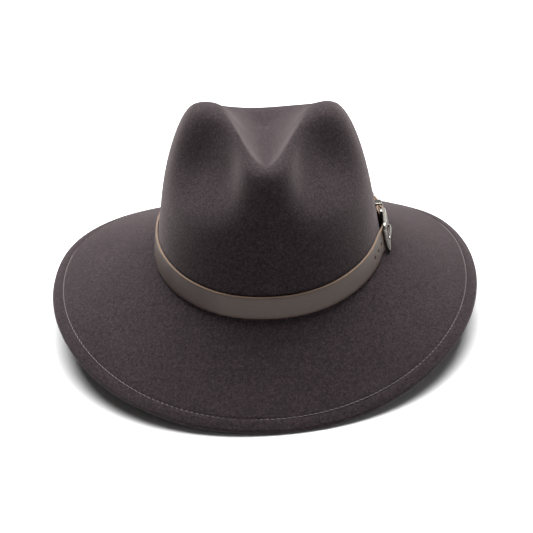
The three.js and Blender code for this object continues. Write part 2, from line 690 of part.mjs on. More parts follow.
// The tongue loops round the bar, comes up through a hole and lies on the front rail.
function buckleTongue() {
  const railTop = RAIL_OUT + FRAME_THICK + GAP + TONGUE_THICK / 2;
  const bottom = STRAP_MIDDLE - TONGUE_WIDTH / 2;
  const top = STRAP_MIDDLE + TONGUE_WIDTH / 2;
  const arm = strip([
    [-1.5, BAR_OUT + 0.1, 1.2], [-3.4, BAR_OUT + 0.35, 1.3], [-4.4, BAR_OUT + 1.5, TONGUE_THICK],
    [-4.7, BAR_OUT + 3.6, TONGUE_THICK], [-5.6, railTop + 0.35, TONGUE_THICK], [-8, railTop + 0.7, TONGUE_THICK],
    [-WINDOW_LENGTH * 0.64, railTop + 0.5, TONGUE_THICK], [-FRAME_LENGTH + 1.5, railTop, TONGUE_THICK],
  ], bottom, top);
  const ring = uprightPin(0, BAR_OUT, BAR_RADIUS + GAP + TONGUE_EYE, bottom, top, 16);
  const eye = uprightPin(0, BAR_OUT, BAR_RADIUS + GAP, bottom - 1, top + 1, 16);
  return cut(join(bendRoundCrown(arm), bendRoundCrown(ring)), bendRoundCrown(eye));
}

// A closed metal loop round the run and the free end.
function keeperLoop() {
  const outside = KEEPER_RUN_OUT + 1.5 * STRAP + 3 * GAP;
  const from = KEEPER_AT - KEEPER_LENGTH / 2;
  const to = KEEPER_AT + KEEPER_LENGTH / 2;
  const low = STRAP_BOTTOM - KEEPER_PLAY;
  const high = STRAP_TOP + KEEPER_PLAY;
  const body = block([from, GAP, low - KEEPER_WALL], [to, outside + KEEPER_WALL, high + KEEPER_WALL]);
  const back = KEEPER_RUN_OUT - STRAP / 2 - GAP;
  const window = block([from - 1, back, low], [to + 1, outside, high]);
  return cut(bendRoundCrown(body), bendRoundCrown(window));
}

// A metal cap with a rounded point over the end of the strap.
function strapTip() {
  const low = LAP_OUT - STRAP / 2;
  const high = LAP_OUT + STRAP / 2 + GAP + TIP_WALL;
  const halfHeight = STRAP_WIDTH / 2 + GAP + TIP_WALL;
  const start = STRAP_END - 12;
  const end = start + TIP_LENGTH;
  const outline = new THREE.Shape();
  outline.moveTo(start, -halfHeight);
  outline.lineTo(start + 10, -halfHeight);
  outline.quadraticCurveTo(end, -halfHeight * 0.8, end, 0);
  outline.quadraticCurveTo(end, halfHeight * 0.8, start + 10, halfHeight);
  outline.lineTo(start, halfHeight);
  const cap = new THREE.ExtrudeGeometry(outline, { depth: high - low, bevelEnabled: false, curveSegments: 4 });
  cap.rotateX(Math.PI / 2);
  cap.translate(0, high, STRAP_MIDDLE);
  const flat = BufferGeometryUtils.mergeVertices(stripAttributes(cap));
  const pocket = block(
    [start - 1, low - 1, STRAP_BOTTOM - GAP], [STRAP_END + GAP, LAP_OUT + STRAP / 2 + GAP, STRAP_TOP + GAP]);
  const holes = TIP_RIVETS_AT.map((along) => crosswisePin(along, STRAP_MIDDLE, RIVET_RADIUS + GAP, 0, 12));
  return cut(bendRoundCrown(flat), ...[pocket, ...holes].map(bendRoundCrown));
}

// A round-headed rivet through the band: shank and a wider head on its outer end.
function rivet(along, inner, headAt) {
  const shank = crosswisePin(along, STRAP_MIDDLE, RIVET_RADIUS, inner, headAt + 0.1);
  const head = crosswisePin(along, STRAP_MIDDLE, RIVET_HEAD, headAt, headAt + RIVET_HEAD_THICK);
  return join(bendRoundCrown(shank), bendRoundCrown(head));
}

function foldRivet() {
  return rivet(FOLD_RIVET_AT, STRAP_OFF_FELT, RUN_OUT + STRAP / 2 + GAP + STRAP_SKIVED + 0.2 + GAP);
}

function tipRivet(along) {
  return rivet(along, LAP_OUT - STRAP / 2 + GAP / 2, LAP_OUT + STRAP / 2 + TIP_WALL + 2 * GAP);
}

// ---------------------------------------------------------------- the hat
function material(color, roughness, metalness = 0) {
  return new THREE.MeshStandardMaterial({ color, roughness, metalness });
}

const felt = material(0x4a4247, 1);
const thread = material(0x8d8488, 0.8);
const leather = material(0x6f635d, 0.55);
const sweatLeather = material(0x5a4334, 0.6);
const satin = material(0x2b2527, 0.35);
const silver = material(0xb9b6ae, 0.35, 1);
const steel = material(0x8a8c90, 0.4, 1);
const plastic = material(0x2a2a2c, 0.5);
const tape = material(0x3a3432, 0.9);

const hat = new THREE.Group();

function add(name, geometry, surface) {
  const mesh = new THREE.Mesh(geometry, surface);
  mesh.name = name;
  hat.add(mesh);
  return mesh;
}

const body = add('felt_body', feltBody(), felt);
add('brim_wire', brimWire(), steel);
add('edge_thread_top', topThread(), thread);
add('edge_thread_bobbin', bobbinThread(), thread);
add('lining_side', liningSide(), satin);
add('lining_tip', liningTip(), satin);
add('sweatband', sweatband(), sweatLeather);
add('sweatband_reed', sweatbandReed(), plastic);
add('reed_tape', reedTape(), tape);
add('sweatband_bow', sweatbandBow(), satin);
add('hatband_strap', hatbandStrap(), leather);
add('buckle_frame', buckleFrame(), silver);
add('buckle_tongue', buckleTongue(), silver);
add('keeper_loop', keeperLoop(), silver);
add('strap_tip', strapTip(), silver);
add('fold_rivet', foldRivet(), silver);
TIP_RIVETS_AT.forEach((along, index) => add(`tip_rivet_${index + 1}`, tipRivet(along), silver));

// The origin is under the middle of the brim, on the plane that the hat stands on.
body.geometry.computeBoundingBox();
const box = body.geometry.boundingBox;
hat.position.set(-(box.min.x + box.max.x) / 2, -(box.min.y + box.max.y) / 2, -box.min.z);

export default hat;
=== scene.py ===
import math

import bmesh
import bpy
import numpy as np
from mathutils import Matrix, Vector


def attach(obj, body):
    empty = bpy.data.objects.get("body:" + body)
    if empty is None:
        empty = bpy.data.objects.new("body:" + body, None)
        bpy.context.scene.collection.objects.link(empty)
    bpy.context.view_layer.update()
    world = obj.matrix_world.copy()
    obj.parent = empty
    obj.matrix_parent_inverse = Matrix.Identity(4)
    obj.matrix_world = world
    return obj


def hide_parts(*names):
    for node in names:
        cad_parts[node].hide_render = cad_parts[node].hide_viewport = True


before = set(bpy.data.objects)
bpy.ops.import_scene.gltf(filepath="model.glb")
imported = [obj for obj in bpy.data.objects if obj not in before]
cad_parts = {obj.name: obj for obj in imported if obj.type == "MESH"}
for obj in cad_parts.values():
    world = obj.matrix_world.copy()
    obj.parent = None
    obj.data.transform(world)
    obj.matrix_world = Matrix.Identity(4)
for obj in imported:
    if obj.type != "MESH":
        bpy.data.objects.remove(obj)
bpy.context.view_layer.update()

# The shapes are worked out in millimetres from the middle of the head opening, front of the hat on -Y,
# angles in degrees or radians round from the front towards the buckle on +X.
MM = 0.001
OPENING = np.array([5.427, 0.0, 53.920])     # where that middle is in the frame

# ---------------------------------------------------------------- sizes of the hat
FELT = 2.3
CROWN_HALF_WIDTH, CROWN_HALF_LENGTH, OVAL_POWER = 89.5, 101.6, 2.15
ROCKER = 3.5
BRIM_WIDTH, BRIM_SKEW = 83.3, 4.4
DROOP_ENDS, DROOP_SIDES, DROOP_SKEW = 33.5, 17.7, 2.5
FOLD_WIDTH, SEAM_INSET, EDGE_RADIUS = 9.0, 7.5, 2.45
WIRE_CHANNEL, WIRE_INSET = 1.1, 0.6
JOIN_ROUND = 5.0                              # felt rounds into the brim over this distance

RIDGE_HEIGHT, RIDGE_HALF_WIDTH, RIDGE_TILT = 124.5, 46.0, 0.035
RIDGE_FRONT, RIDGE_BACK, RIDGE_TOP_AT = -74.0, 62.0, -4.0
RIDGE_ROUND, RIDGE_SLOPE_FRONT, RIDGE_SLOPE_BACK = 18.0, 0.30, 0.66
TIP_ROUND = 0.5
WALL_POWER, WALL_LEAN = 2.9, 0.34
CREASE_FRONT, CREASE_BACK = -50.0, 34.0
CREASE_HEIGHT_FRONT, CREASE_HEIGHT_BACK = 97.0, 88.0
CROWN_LEAN = 1.5
PINCH_DEPTH = 25.0
PINCH_AT = np.array([53.0, -66.0, 112.0])
PINCH_SIZE = np.array([30.0, 46.0, 37.0])
PINCH_INWARD = (0.6, 0.8)

LINING, LINING_OUT = 0.6, 3.1
LINING_BOTTOM, LINING_SEAM = 0.11, 0.68       # parts of the way up the wall
SWEATBAND, SWEATBAND_HEIGHT = 1.2, 38.0
SWEATBAND_OFF = -4.5
REED_RADIUS, REED_UP, TAPE = 0.9, -1.2, 0.4

STRAP_WIDTH, STRAP, STRAP_SKIVED, STRAP_BOTTOM = 17.5, 1.8, 0.8, 2.4
STRAP_TOP = STRAP_BOTTOM + STRAP_WIDTH
STRAP_MIDDLE = STRAP_BOTTOM + STRAP_WIDTH / 2
GAP = 0.3
RUN_OUT = 1.4                                 # middle of the strap's thickness off the felt
BAR_ANGLE, BAR_RADIUS, BAR_OUT, RAIL_OUT = 91.0, 1.0, 3.6, 4.6
KEEPER_RUN_OUT = RUN_OUT + 0.9
LAP_OUT = RUN_OUT + STRAP + GAP
FOLD_OUT = BAR_RADIUS + GAP + STRAP_SKIVED / 2
FOLD_END = 9.9
HOLE_RADIUS, HOLE_PITCH, HOLE_COUNT, HOLE_FIRST = 1.9, 9.5, 6, 4.5
FRAME_LENGTH, FRAME_RAIL, FRAME_SIDE, FRAME_THICK = 25.5, 3.7, 2.8, 2.6
TONGUE_WIDTH, TONGUE_THICK = 2.2, 1.5
KEEPER_LENGTH, KEEPER_AT = 7.0, 17.0
STRAP_END, TIP_LENGTH = 46.0, 17.0
RIVET_RADIUS, RIVET_HEAD, FOLD_RIVET_AT, TIP_RIVETS_AT = 1.0, 1.7, 8.0, (37.0, 42.0)

COLUMNS = 300                                 # round the hat


# ---------------------------------------------------------------- the studio
def studio_camera():
    """A long lens in front of the hat, looking down on it, turned a little."""
    aim = Vector((0.0054, 0.0, 0.0939))
    rise, side, reach = math.radians(29), math.radians(1), 1.0
    back = Vector((math.sin(side) * math.cos(rise), -math.cos(side) * math.cos(rise), math.sin(rise)))
    look = (-back).to_track_quat("-Z", "Y").to_matrix().to_4x4()
    roll = Matrix.Rotation(math.radians(-3.47), 4, "Z")
    dip = Matrix.Rotation(math.radians(-2.92), 4, "X")
    lens = bpy.data.cameras.new("camera")
    lens.sensor_width = 36
    lens.lens = 85.8
    camera = bpy.data.objects.new("camera", lens)
    camera.matrix_world = Matrix.Translation(aim + back * reach) @ look @ roll @ dip
    bpy.context.scene.collection.objects.link(camera)
    bpy.context.scene.camera = camera


def softbox(name, place, aim, width, height, power):
    lamp = bpy.data.lights.new(name, "AREA")
    lamp.shape = "RECTANGLE"
    lamp.size, lamp.size_y = width, height
    lamp.energy = power
    box = bpy.data.objects.new(name, lamp)
    box.location = place
    box.rotation_euler = (Vector(aim) - Vector(place)).to_track_quat("-Z", "Y").to_euler()
    bpy.context.scene.collection.objects.link(box)


def studio_lights():
    softbox("overhead_softbox", (0.0, 0.42, 1.12), (0.0, 0.0, 0.1), 1.4, 1.0, 54)
    softbox("side_fill", (1.3, -0.9, 0.9), (0.0, 0.0, 0.08), 0.9, 0.9, 2)
    world = bpy.data.worlds.new("studio_air")
    world.use_nodes = True
    air = world.node_tree.nodes["Background"]
    air.inputs["Color"].default_value = (1.0, 0.99, 0.98, 1)
    air.inputs["Strength"].default_value = 0.08
    bpy.context.scene.world = world
    bpy.context.scene.view_settings.view_transform = "Standard"


def studio_floor():
    mesh = bpy.data.meshes.new("studio_floor")
    half = 4.0
    mesh.from_pydata([(-half, -half, 0), (half, -half, 0), (half, half, 0), (-half, half, 0)], [], [(0, 1, 2, 3)])
    floor = bpy.data.objects.new("studio_floor", mesh)
    bpy.context.scene.collection.objects.link(floor)
    paper, surface = new_material("studio_paper")
    surface.inputs["Base Color"].default_value = (0.82, 0.82, 0.82, 1)
    surface.inputs["Roughness"].default_value = 0.9
    surface.inputs["Specular IOR Level"].default_value = 0.1
    mesh.materials.append(paper)


# ---------------------------------------------------------------- finishes
def from_srgb(red, green, blue):
    """A colour given as 0-255 steps, made linear, with full alpha."""
    linear = [((step / 255 + 0.055) / 1.055) ** 2.4 if step > 10 else step / 255 / 12.92 for step in (red, green, blue)]
    return (*linear, 1.0)


def new_material(name):
    material = bpy.data.materials.new(name)
    material.use_nodes = True
    return material, material.node_tree.nodes["Principled BSDF"]


def node(tree, kind, **settings):
    made = tree.nodes.new(kind)
    for key, value in settings.items():
        setattr(made, key, value)
    return made


def feed(tree, source, target):
    tree.links.new(source, target)


def effect_group(name, inputs, outputs):
    """A new node group with number inputs (name, value) and outputs (name, socket kind)."""
    group = bpy.data.node_groups.new(name, "ShaderNodeTree")
    for label, kind, value in inputs:
        socket = group.interface.new_socket(label, in_out="INPUT", socket_type=kind)
        socket.default_value = value
    for label, kind in outputs:
        group.interface.new_socket(label, in_out="OUTPUT", socket_type=kind)
    return group, node(group, "NodeGroupInput"), node(group, "NodeGroupOutput")


def place_group(tree, group, **values):
    """Puts an effect group into a material, with its number inputs set. Underscores stand for spaces."""
    made = node(tree, "ShaderNodeGroup", node_tree=group)
    for label, value in values.items():
        made.inputs[label.replace("_", " ")].default_value = value
    return made


def noise(tree, vector, scale, detail, roughness=0.5):
    made = node(tree, "ShaderNodeTexNoise")
    made.inputs["Detail"].default_value = detail
    made.inputs["Roughness"].default_value = roughness
    if isinstance(scale, (int, float)):
        made.inputs["Scale"].default_value = scale
    else:
        feed(tree, scale, made.inputs["Scale"])
    feed(tree, vector, made.inputs["Vector"])
    return made.outputs["Fac"]


def maths(tree, operation, first, second=None, third=None):
    made = node(tree, "ShaderNodeMath", operation=operation)
    for socket, value in zip(made.inputs, (first, second, third)):
        if value is None:
            continue
        if isinstance(value, (int, float)):
            socket.default_value = value
        else:
            feed(tree, value, socket)
    return made.outputs[0]


def mix_colour(tree, amount, first, second, blend="MIX"):
    made = node(tree, "ShaderNodeMix", data_type="RGBA", blend_type=blend)
    for socket, value in ((made.inputs[0], amount), (made.inputs[6], first), (made.inputs[7], second)):
        if isinstance(value, (int, float, tuple)):
            socket.default_value = value
        else:
            feed(tree, value, socket)
    return made.outputs[2]


def steps(tree, value, stops):
    """A colour ramp; stops are (position, grey or colour)."""
    ramp = node(tree, "ShaderNodeValToRGB")
    elements = ramp.color_ramp.elements
    while len(elements) < len(stops):
        elements.new(0.5)
    for element, (position, colour) in zip(elements, stops):
        element.position = position
        element.color = colour if isinstance(colour, tuple) else (colour, colour, colour, 1)
    feed(tree, value, ramp.inputs[0])
    return ramp.outputs[0]


def bump(tree, height, strength, distance):
    made = node(tree, "ShaderNodeBump")
    made.inputs["Strength"].default_value = strength
    made.inputs["Distance"].default_value = distance
    feed(tree, height, made.inputs["Height"])
    return made.outputs["Normal"]


def place_in_object(tree):
    return node(tree, "ShaderNodeTexCoord").outputs["Object"]


def place_on_surface(tree):
    return node(tree, "ShaderNodeTexCoord").outputs["UV"]


def fibre_group():
    """Matted fibres: clumps of nap with finer hairs over them."""
    group, given, out = effect_group(
        "matted_fibres",
        [("Vector", "NodeSocketVector", (0, 0, 0)), ("Hair Scale", "NodeSocketFloat", 1500.0),
         ("Clump Scale", "NodeSocketFloat", 160.0), ("Patch Scale", "NodeSocketFloat", 22.0)],
        [("Hairs", "NodeSocketFloat"), ("Clumps", "NodeSocketFloat"), ("Patches", "NodeSocketFloat"),
         ("Height", "NodeSocketFloat")])
    where = given.outputs["Vector"]
    bend = node(group, "ShaderNodeTexNoise")
    bend.inputs["Scale"].default_value = 300
    feed(group, where, bend.inputs["Vector"])
    wander = node(group, "ShaderNodeVectorMath", operation="SCALE")
    wander.inputs["Scale"].default_value = 0.004
    feed(group, bend.outputs["Color"], wander.inputs[0])
    moved = node(group, "ShaderNodeVectorMath", operation="ADD")
    feed(group, where, moved.inputs[0])
    feed(group, wander.outputs[0], moved.inputs[1])
    hairs = noise(group, moved.outputs[0], given.outputs["Hair Scale"], 4, 0.75)
    clumps = noise(group, where, given.outputs["Clump Scale"], 5, 0.62)
    patches = noise(group, where, given.outputs["Patch Scale"], 3, 0.55)
    feed(group, hairs, out.inputs["Hairs"])
    feed(group, clumps, out.inputs["Clumps"])
    feed(group, patches, out.inputs["Patches"])
    feed(group, maths(group, "MULTIPLY_ADD", clumps, 0.45, maths(group, "MULTIPLY", hairs, 0.55)), out.inputs["Height"])
    return group


def grain_group():
    """Leather grain: small cells with creases between them, pores, and a broad unevenness."""
    group, given, out = effect_group(
        "leather_grain",
        [("Vector", "NodeSocketVector", (0, 0, 0)), ("Cell Scale", "NodeSocketFloat", 900.0),
         ("Pore Scale", "NodeSocketFloat", 2600.0)],
        [("Height", "NodeSocketFloat"), ("Creases", "NodeSocketFloat"), ("Tone", "NodeSocketFloat")])
    where = given.outputs["Vector"]
    cells = node(group, "ShaderNodeTexVoronoi", feature="DISTANCE_TO_EDGE")
    feed(group, where, cells.inputs["Vector"])
    feed(group, given.outputs["Cell Scale"], cells.inputs["Scale"])
    creases = steps(group, cells.outputs["Distance"], [(0.0, 0.0), (0.16, 1.0)])
    pores = noise(group, where, given.outputs["Pore Scale"], 2, 0.6)
    tone = noise(group, where, 55.0, 4, 0.6)
    feed(group, maths(group, "MULTIPLY_ADD", creases, 0.7, maths(group, "MULTIPLY", pores, 0.3)), out.inputs["Height"])
    feed(group, creases, out.inputs["Creases"])
    feed(group, tone, out.inputs["Tone"])
    return group


def weave_group():
    """Warp and weft in surface coordinates, in threads for each metre."""
    group, given, out = effect_group(
        "weave",
        [("Vector", "NodeSocketVector", (0, 0, 0)), ("Warp", "NodeSocketFloat", 3000.0),
         ("Weft", "NodeSocketFloat", 1500.0)],
        [("Height", "NodeSocketFloat"), ("Threads", "NodeSocketFloat")])
    split = node(group, "ShaderNodeSeparateXYZ")
    feed(group, given.outputs["Vector"], split.inputs[0])
    turn = 2 * math.pi
    warp = maths(group, "SINE", maths(group, "MULTIPLY", maths(group, "MULTIPLY", split.outputs[0], given.outputs["Warp"]), turn))
    weft = maths(group, "SINE", maths(group, "MULTIPLY", maths(group, "MULTIPLY", split.outputs[1], given.outputs["Weft"]), turn))
    both = maths(group, "MULTIPLY", warp, weft)
    feed(group, maths(group, "MULTIPLY_ADD", both, 0.5, 0.5), out.inputs["Threads"])
    feed(group, maths(group, "MULTIPLY_ADD", maths(group, "ADD", maths(group, "MULTIPLY", weft, 0.7), both), 0.3, 0.5),
         out.inputs["Height"])
    return group


def wear_group():
    """Rubbed edges: a mask that is 1 where the surface turns sharply outwards, broken up by noise."""
    group, given, out = effect_group(
        "edge_wear",
        [("Vector", "NodeSocketVector", (0, 0, 0)), ("Start", "NodeSocketFloat", 0.52), ("Spread", "NodeSocketFloat", 0.10)],
        [("Mask", "NodeSocketFloat")])
    turned = node(group, "ShaderNodeNewGeometry").outputs["Pointiness"]
    broken = noise(group, given.outputs["Vector"], 700.0, 3, 0.6)
    raised = maths(group, "DIVIDE", maths(group, "SUBTRACT", turned, given.outputs["Start"]), given.outputs["Spread"])
    mask = maths(group, "MULTIPLY", raised, maths(group, "MULTIPLY_ADD", broken, 1.4, 0.3))
    held = node(group, "ShaderNodeClamp")
    feed(group, mask, held.inputs["Value"])
    feed(group, held.outputs[0], out.inputs["Mask"])
    return group


def felt_finish(fibres):
    material, surface = new_material("charcoal_brown_felt")
    tree = material.node_tree
    nap = place_group(tree, fibres, Hair_Scale=1500.0, Clump_Scale=480.0, Patch_Scale=45.0)
    feed(tree, place_in_object(tree), nap.inputs["Vector"])
    ground = mix_colour(tree, nap.outputs["Patches"], from_srgb(38, 31, 34), from_srgb(45, 37, 40))
    clumps = steps(tree, nap.outputs["Clumps"], [(0.36, 0.62), (0.64, 1.38)])
    matted = mix_colour(tree, 1.0, ground, clumps, "MULTIPLY")
    hairs = steps(tree, nap.outputs["Hairs"], [(0.40, 0.25), (0.62, 1.9)])
    feed(tree, mix_colour(tree, 1.0, matted, hairs, "MULTIPLY"), surface.inputs["Base Color"])
    feed(tree, bump(tree, nap.outputs["Height"], 0.55, 0.0006), surface.inputs["Normal"])
    surface.inputs["Roughness"].default_value = 0.95
    surface.inputs["Specular IOR Level"].default_value = 0.15
    surface.inputs["Sheen Weight"].default_value = 0.28
    surface.inputs["Sheen Roughness"].default_value = 0.45
    surface.inputs["Sheen Tint"].default_value = from_srgb(205, 190, 190)
    return material


def band_leather_finish(grain, wear):
    """Waxed taupe leather, darker in its creases and rubbed pale on its corners, with painted shade: a darker reddish
    patch on the band's front left.
    """
    material, surface = new_material("taupe_band_leather")
    tree = material.node_tree
    where = place_in_object(tree)
    skin = place_group(tree, grain, Cell_Scale=1100.0, Pore_Scale=3200.0)
    feed(tree, where, skin.inputs["Vector"])
    rubbed = place_group(tree, wear, Start=0.53, Spread=0.12)
    feed(tree, where, rubbed.inputs["Vector"])
    split = node(tree, "ShaderNodeSeparateXYZ")
    feed(tree, where, split.inputs[0])
    # painted shade: a darker reddish-brown patch on the band's front left (x from -80 to -30 mm, in front of y -8 mm)
    # stands in for the shade that falls there
    across = steps(tree, maths(tree, "MULTIPLY_ADD", split.outputs[0], 5.0, 0.5),
                   [(0.10, 0.0), (0.14, 1.0), (0.275, 1.0), (0.35, 0.0)])
    in_front = steps(tree, maths(tree, "MULTIPLY_ADD", split.outputs[1], 5.0, 0.5), [(0.38, 1.0), (0.46, 0.0)])
    painted_shade_patch = maths(tree, "MULTIPLY", across, in_front)
    leather_tone = mix_colour(tree, skin.outputs["Tone"], from_srgb(66, 50, 43), from_srgb(88, 72, 63))
    # mixes the painted shade patch into the leather's own tone, at most 85 per cent
    tone = mix_colour(tree, maths(tree, "MULTIPLY", painted_shade_patch, 0.85), leather_tone, from_srgb(52, 33, 28))
    creased = mix_colour(tree, maths(tree, "MULTIPLY_ADD", skin.outputs["Creases"], 0.35, 0.65), from_srgb(58, 43, 37), tone)
    feed(tree, mix_colour(tree, maths(tree, "MULTIPLY", rubbed.outputs["Mask"], 0.6), creased, from_srgb(168, 142, 116)),
         surface.inputs["Base Color"])
    feed(tree, maths(tree, "MULTIPLY_ADD", skin.outputs["Tone"], 0.25, 0.33), surface.inputs["Roughness"])
    feed(tree, bump(tree, skin.outputs["Height"], 0.25, 0.0002), surface.inputs["Normal"])
    surface.inputs["Specular IOR Level"].default_value = 0.45
    surface.inputs["Coat Weight"].default_value = 0.12
    surface.inputs["Coat Roughness"].default_value = 0.35
    return material


def raw_edge_finish(fibres):
    """The cut edge of vegetable-tanned leather, with its fibres showing."""
    material, surface = new_material("tan_cut_edge")
    tree = material.node_tree
    nap = place_group(tree, fibres, Hair_Scale=2600.0, Clump_Scale=700.0, Patch_Scale=60.0)
    feed(tree, place_in_object(tree), nap.inputs["Vector"])
    ground = mix_colour(tree, nap.outputs["Patches"], from_srgb(104, 84, 70), from_srgb(142, 118, 98))
    feed(tree, mix_colour(tree, 1.0, ground, steps(tree, nap.outputs["Hairs"], [(0.3, 0.6), (0.7, 1.2)]), "MULTIPLY"),
         surface.inputs["Base Color"])
    feed(tree, bump(tree, nap.outputs["Height"], 0.4, 0.0002), surface.inputs["Normal"])
    surface.inputs["Roughness"].default_value = 0.75
    return material


def silver_finish(wear):
    """Antique silver: bright on what is proud, blackened in the recesses that the recess attribute gives."""
    material, surface = new_material("antique_silver")
    tree = material.node_tree
    where = place_in_object(tree)
    rubbed = place_group(tree, wear, Start=0.51, Spread=0.06)
    feed(tree, where, rubbed.inputs["Vector"])
    recess = node(tree, "ShaderNodeAttribute", attribute_name="recess").outputs["Fac"]
    tarnish = noise(tree, where, 420.0, 4, 0.65)
    dark = maths(tree, "MULTIPLY", recess, maths(tree, "MULTIPLY_ADD", tarnish, 0.8, 0.55))
    film = mix_colour(tree, tarnish, from_srgb(80, 77, 72), from_srgb(128, 125, 119))
    filled = mix_colour(tree, dark, film, from_srgb(20, 18, 17))
    feed(tree, mix_colour(tree, maths(tree, "MULTIPLY", rubbed.outputs["Mask"], 0.7), filled, from_srgb(200, 197, 190)),
         surface.inputs["Base Color"])
    feed(tree, maths(tree, "MULTIPLY_ADD", dark, 0.35, maths(tree, "MULTIPLY_ADD", tarnish, 0.22, 0.20)),
         surface.inputs["Roughness"])
    feed(tree, bump(tree, noise(tree, where, 1800.0, 3, 0.6), 0.12, 0.0001), surface.inputs["Normal"])
    surface.inputs["Metallic"].default_value = 1.0
    return material


def thread_finish(fibres):
    material, surface = new_material("grey_thread")
    tree = material.node_tree
    nap = place_group(tree, fibres, Hair_Scale=4200.0, Clump_Scale=900.0, Patch_Scale=40.0)
    feed(tree, place_in_object(tree), nap.inputs["Vector"])
    feed(tree, mix_colour(tree, nap.outputs["Hairs"], from_srgb(74, 67, 69), from_srgb(128, 119, 120)),
         surface.inputs["Base Color"])
    feed(tree, bump(tree, nap.outputs["Height"], 0.5, 0.0001), surface.inputs["Normal"])
    surface.inputs["Roughness"].default_value = 0.7
    surface.inputs["Sheen Weight"].default_value = 0.3
    return material


def satin_finish(weave):
    material, surface = new_material("dark_satin")
    tree = material.node_tree
    cloth = place_group(tree, weave, Warp=2600.0, Weft=700.0)
    feed(tree, place_on_surface(tree), cloth.inputs["Vector"])
    shade = noise(tree, place_in_object(tree), 35.0, 3, 0.5)
    ground = mix_colour(tree, shade, from_srgb(42, 34, 36), from_srgb(62, 51, 52))
    feed(tree, mix_colour(tree, 1.0, ground, steps(tree, cloth.outputs["Threads"], [(0.0, 0.85), (1.0, 1.12)]), "MULTIPLY"),
         surface.inputs["Base Color"])
    feed(tree, bump(tree, cloth.outputs["Height"], 0.15, 0.0001), surface.inputs["Normal"])
    surface.inputs["Roughness"].default_value = 0.34
    surface.inputs["Anisotropic"].default_value = 0.5
    surface.inputs["Sheen Weight"].default_value = 0.2
    return material


def ribbon_finish(weave, name, dark, light):
    """Grosgrain: ribs across the ribbon."""
    material, surface = new_material(name)
    tree = material.node_tree
    cloth = place_group(tree, weave, Warp=1100.0, Weft=400.0)
    feed(tree, place_on_surface(tree), cloth.inputs["Vector"])
    feed(tree, mix_colour(tree, cloth.outputs["Threads"], dark, light), surface.inputs["Base Color"])
    feed(tree, bump(tree, cloth.outputs["Height"], 0.6, 0.0002), surface.inputs["Normal"])
    surface.inputs["Roughness"].default_value = 0.6
    surface.inputs["Sheen Weight"].default_value = 0.25
    return material


def sweat_leather_finish(grain, wear):
    material, surface = new_material("brown_sweat_leather")
    tree = material.node_tree
    where = place_in_object(tree)
    skin = place_group(tree, grain, Cell_Scale=1500.0, Pore_Scale=2400.0)
    feed(tree, where, skin.inputs["Vector"])
    rubbed = place_group(tree, wear, Start=0.53, Spread=0.15)
    feed(tree, where, rubbed.inputs["Vector"])
    tone = mix_colour(tree, skin.outputs["Tone"], from_srgb(84, 58, 42), from_srgb(112, 80, 58))
    feed(tree, mix_colour(tree, maths(tree, "MULTIPLY", rubbed.outputs["Mask"], 0.5), tone, from_srgb(150, 112, 82)),
         surface.inputs["Base Color"])
    feed(tree, maths(tree, "MULTIPLY_ADD", skin.outputs["Tone"], 0.2, 0.42), surface.inputs["Roughness"])
    feed(tree, bump(tree, skin.outputs["Height"], 0.3, 0.0002), surface.inputs["Normal"])
    return material


def wire_finish():
    material, surface = new_material("drawn_steel")
    tree = material.node_tree
    drawn = noise(tree, place_in_object(tree), 900.0, 4, 0.6)
    feed(tree, mix_colour(tree, drawn, from_srgb(120, 122, 126), from_srgb(176, 178, 182)), surface.inputs["Base Color"])
    feed(tree, maths(tree, "MULTIPLY_ADD", drawn, 0.2, 0.28), surface.inputs["Roughness"])
    surface.inputs["Metallic"].default_value = 1.0
    return material


def reed_finish():
    material, surface = new_material("dark_reed_plastic")
    tree = material.node_tree
    drawn = noise(tree, place_in_object(tree), 500.0, 3, 0.6)
    feed(tree, mix_colour(tree, drawn, from_srgb(34, 34, 36), from_srgb(56, 56, 58)), surface.inputs["Base Color"])
    feed(tree, maths(tree, "MULTIPLY_ADD", drawn, 0.2, 0.35), surface.inputs["Roughness"])
    return material


# ---------------------------------------------------------------- making pieces
def add_piece(name, points, faces, finishes, finish_of_face=None, corner_uv=None, recess=None, flat=False):
    """A new piece from points in millimetres; every surface is turned to face outwards."""
    points = np.asarray(points, float).reshape(-1, 3)
    faces = [tuple(dict.fromkeys(face)) for face in np.asarray(faces).tolist()] if isinstance(faces, np.ndarray) else faces
    used = sorted({corner for face in faces for corner in face})
    renamed = {old: new for new, old in enumerate(used)}
    mesh = bpy.data.meshes.new(name)
    mesh.from_pydata(points[used].tolist(), [], [[renamed[corner] for corner in face] for face in faces])
    for finish in finishes:
        mesh.materials.append(finish)
    if finish_of_face is not None:
        mesh.polygons.foreach_set("material_index", np.asarray(finish_of_face, np.int32))
    if corner_uv is not None:
        mesh.uv_layers.new(name="surface").data.foreach_set("uv", np.asarray(corner_uv, np.float32).ravel())
    if recess is not None:
        mesh.attributes.new("recess", "FLOAT", "POINT").data.foreach_set("value", np.asarray(recess, np.float32)[used])
    face_outwards(mesh)
    mesh.transform(Matrix.Scale(MM, 4) @ Matrix.Translation(OPENING))
    mesh.polygons.foreach_set("use_smooth", np.full(len(mesh.polygons), not flat))
    piece = bpy.data.objects.new(name, mesh)
    bpy.context.scene.collection.objects.link(piece)
    return piece


def face_outwards(mesh):
    worked = bmesh.new()
    worked.from_mesh(mesh)
    bmesh.ops.recalc_face_normals(worked, faces=worked.faces)
    if worked.calc_volume(signed=True) < 0:
        bmesh.ops.reverse_faces(worked, faces=worked.faces)
    worked.to_mesh(mesh)
    worked.free()


def stand_for(piece, body, slot, *cad_nodes):
    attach(piece, body)
    if cad_nodes:
        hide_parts(*cad_nodes)
    return piece


def soften(piece, angle):
    """Smooth shading, but with edges sharper than the angle kept crisp."""
    mesh = piece.data
    worked = bmesh.new()
    worked.from_mesh(mesh)
    for edge in worked.edges:
        edge.smooth = not (len(edge.link_faces) == 2 and edge.calc_face_angle(0) > math.radians(angle))
    worked.to_mesh(mesh)
    worked.free()


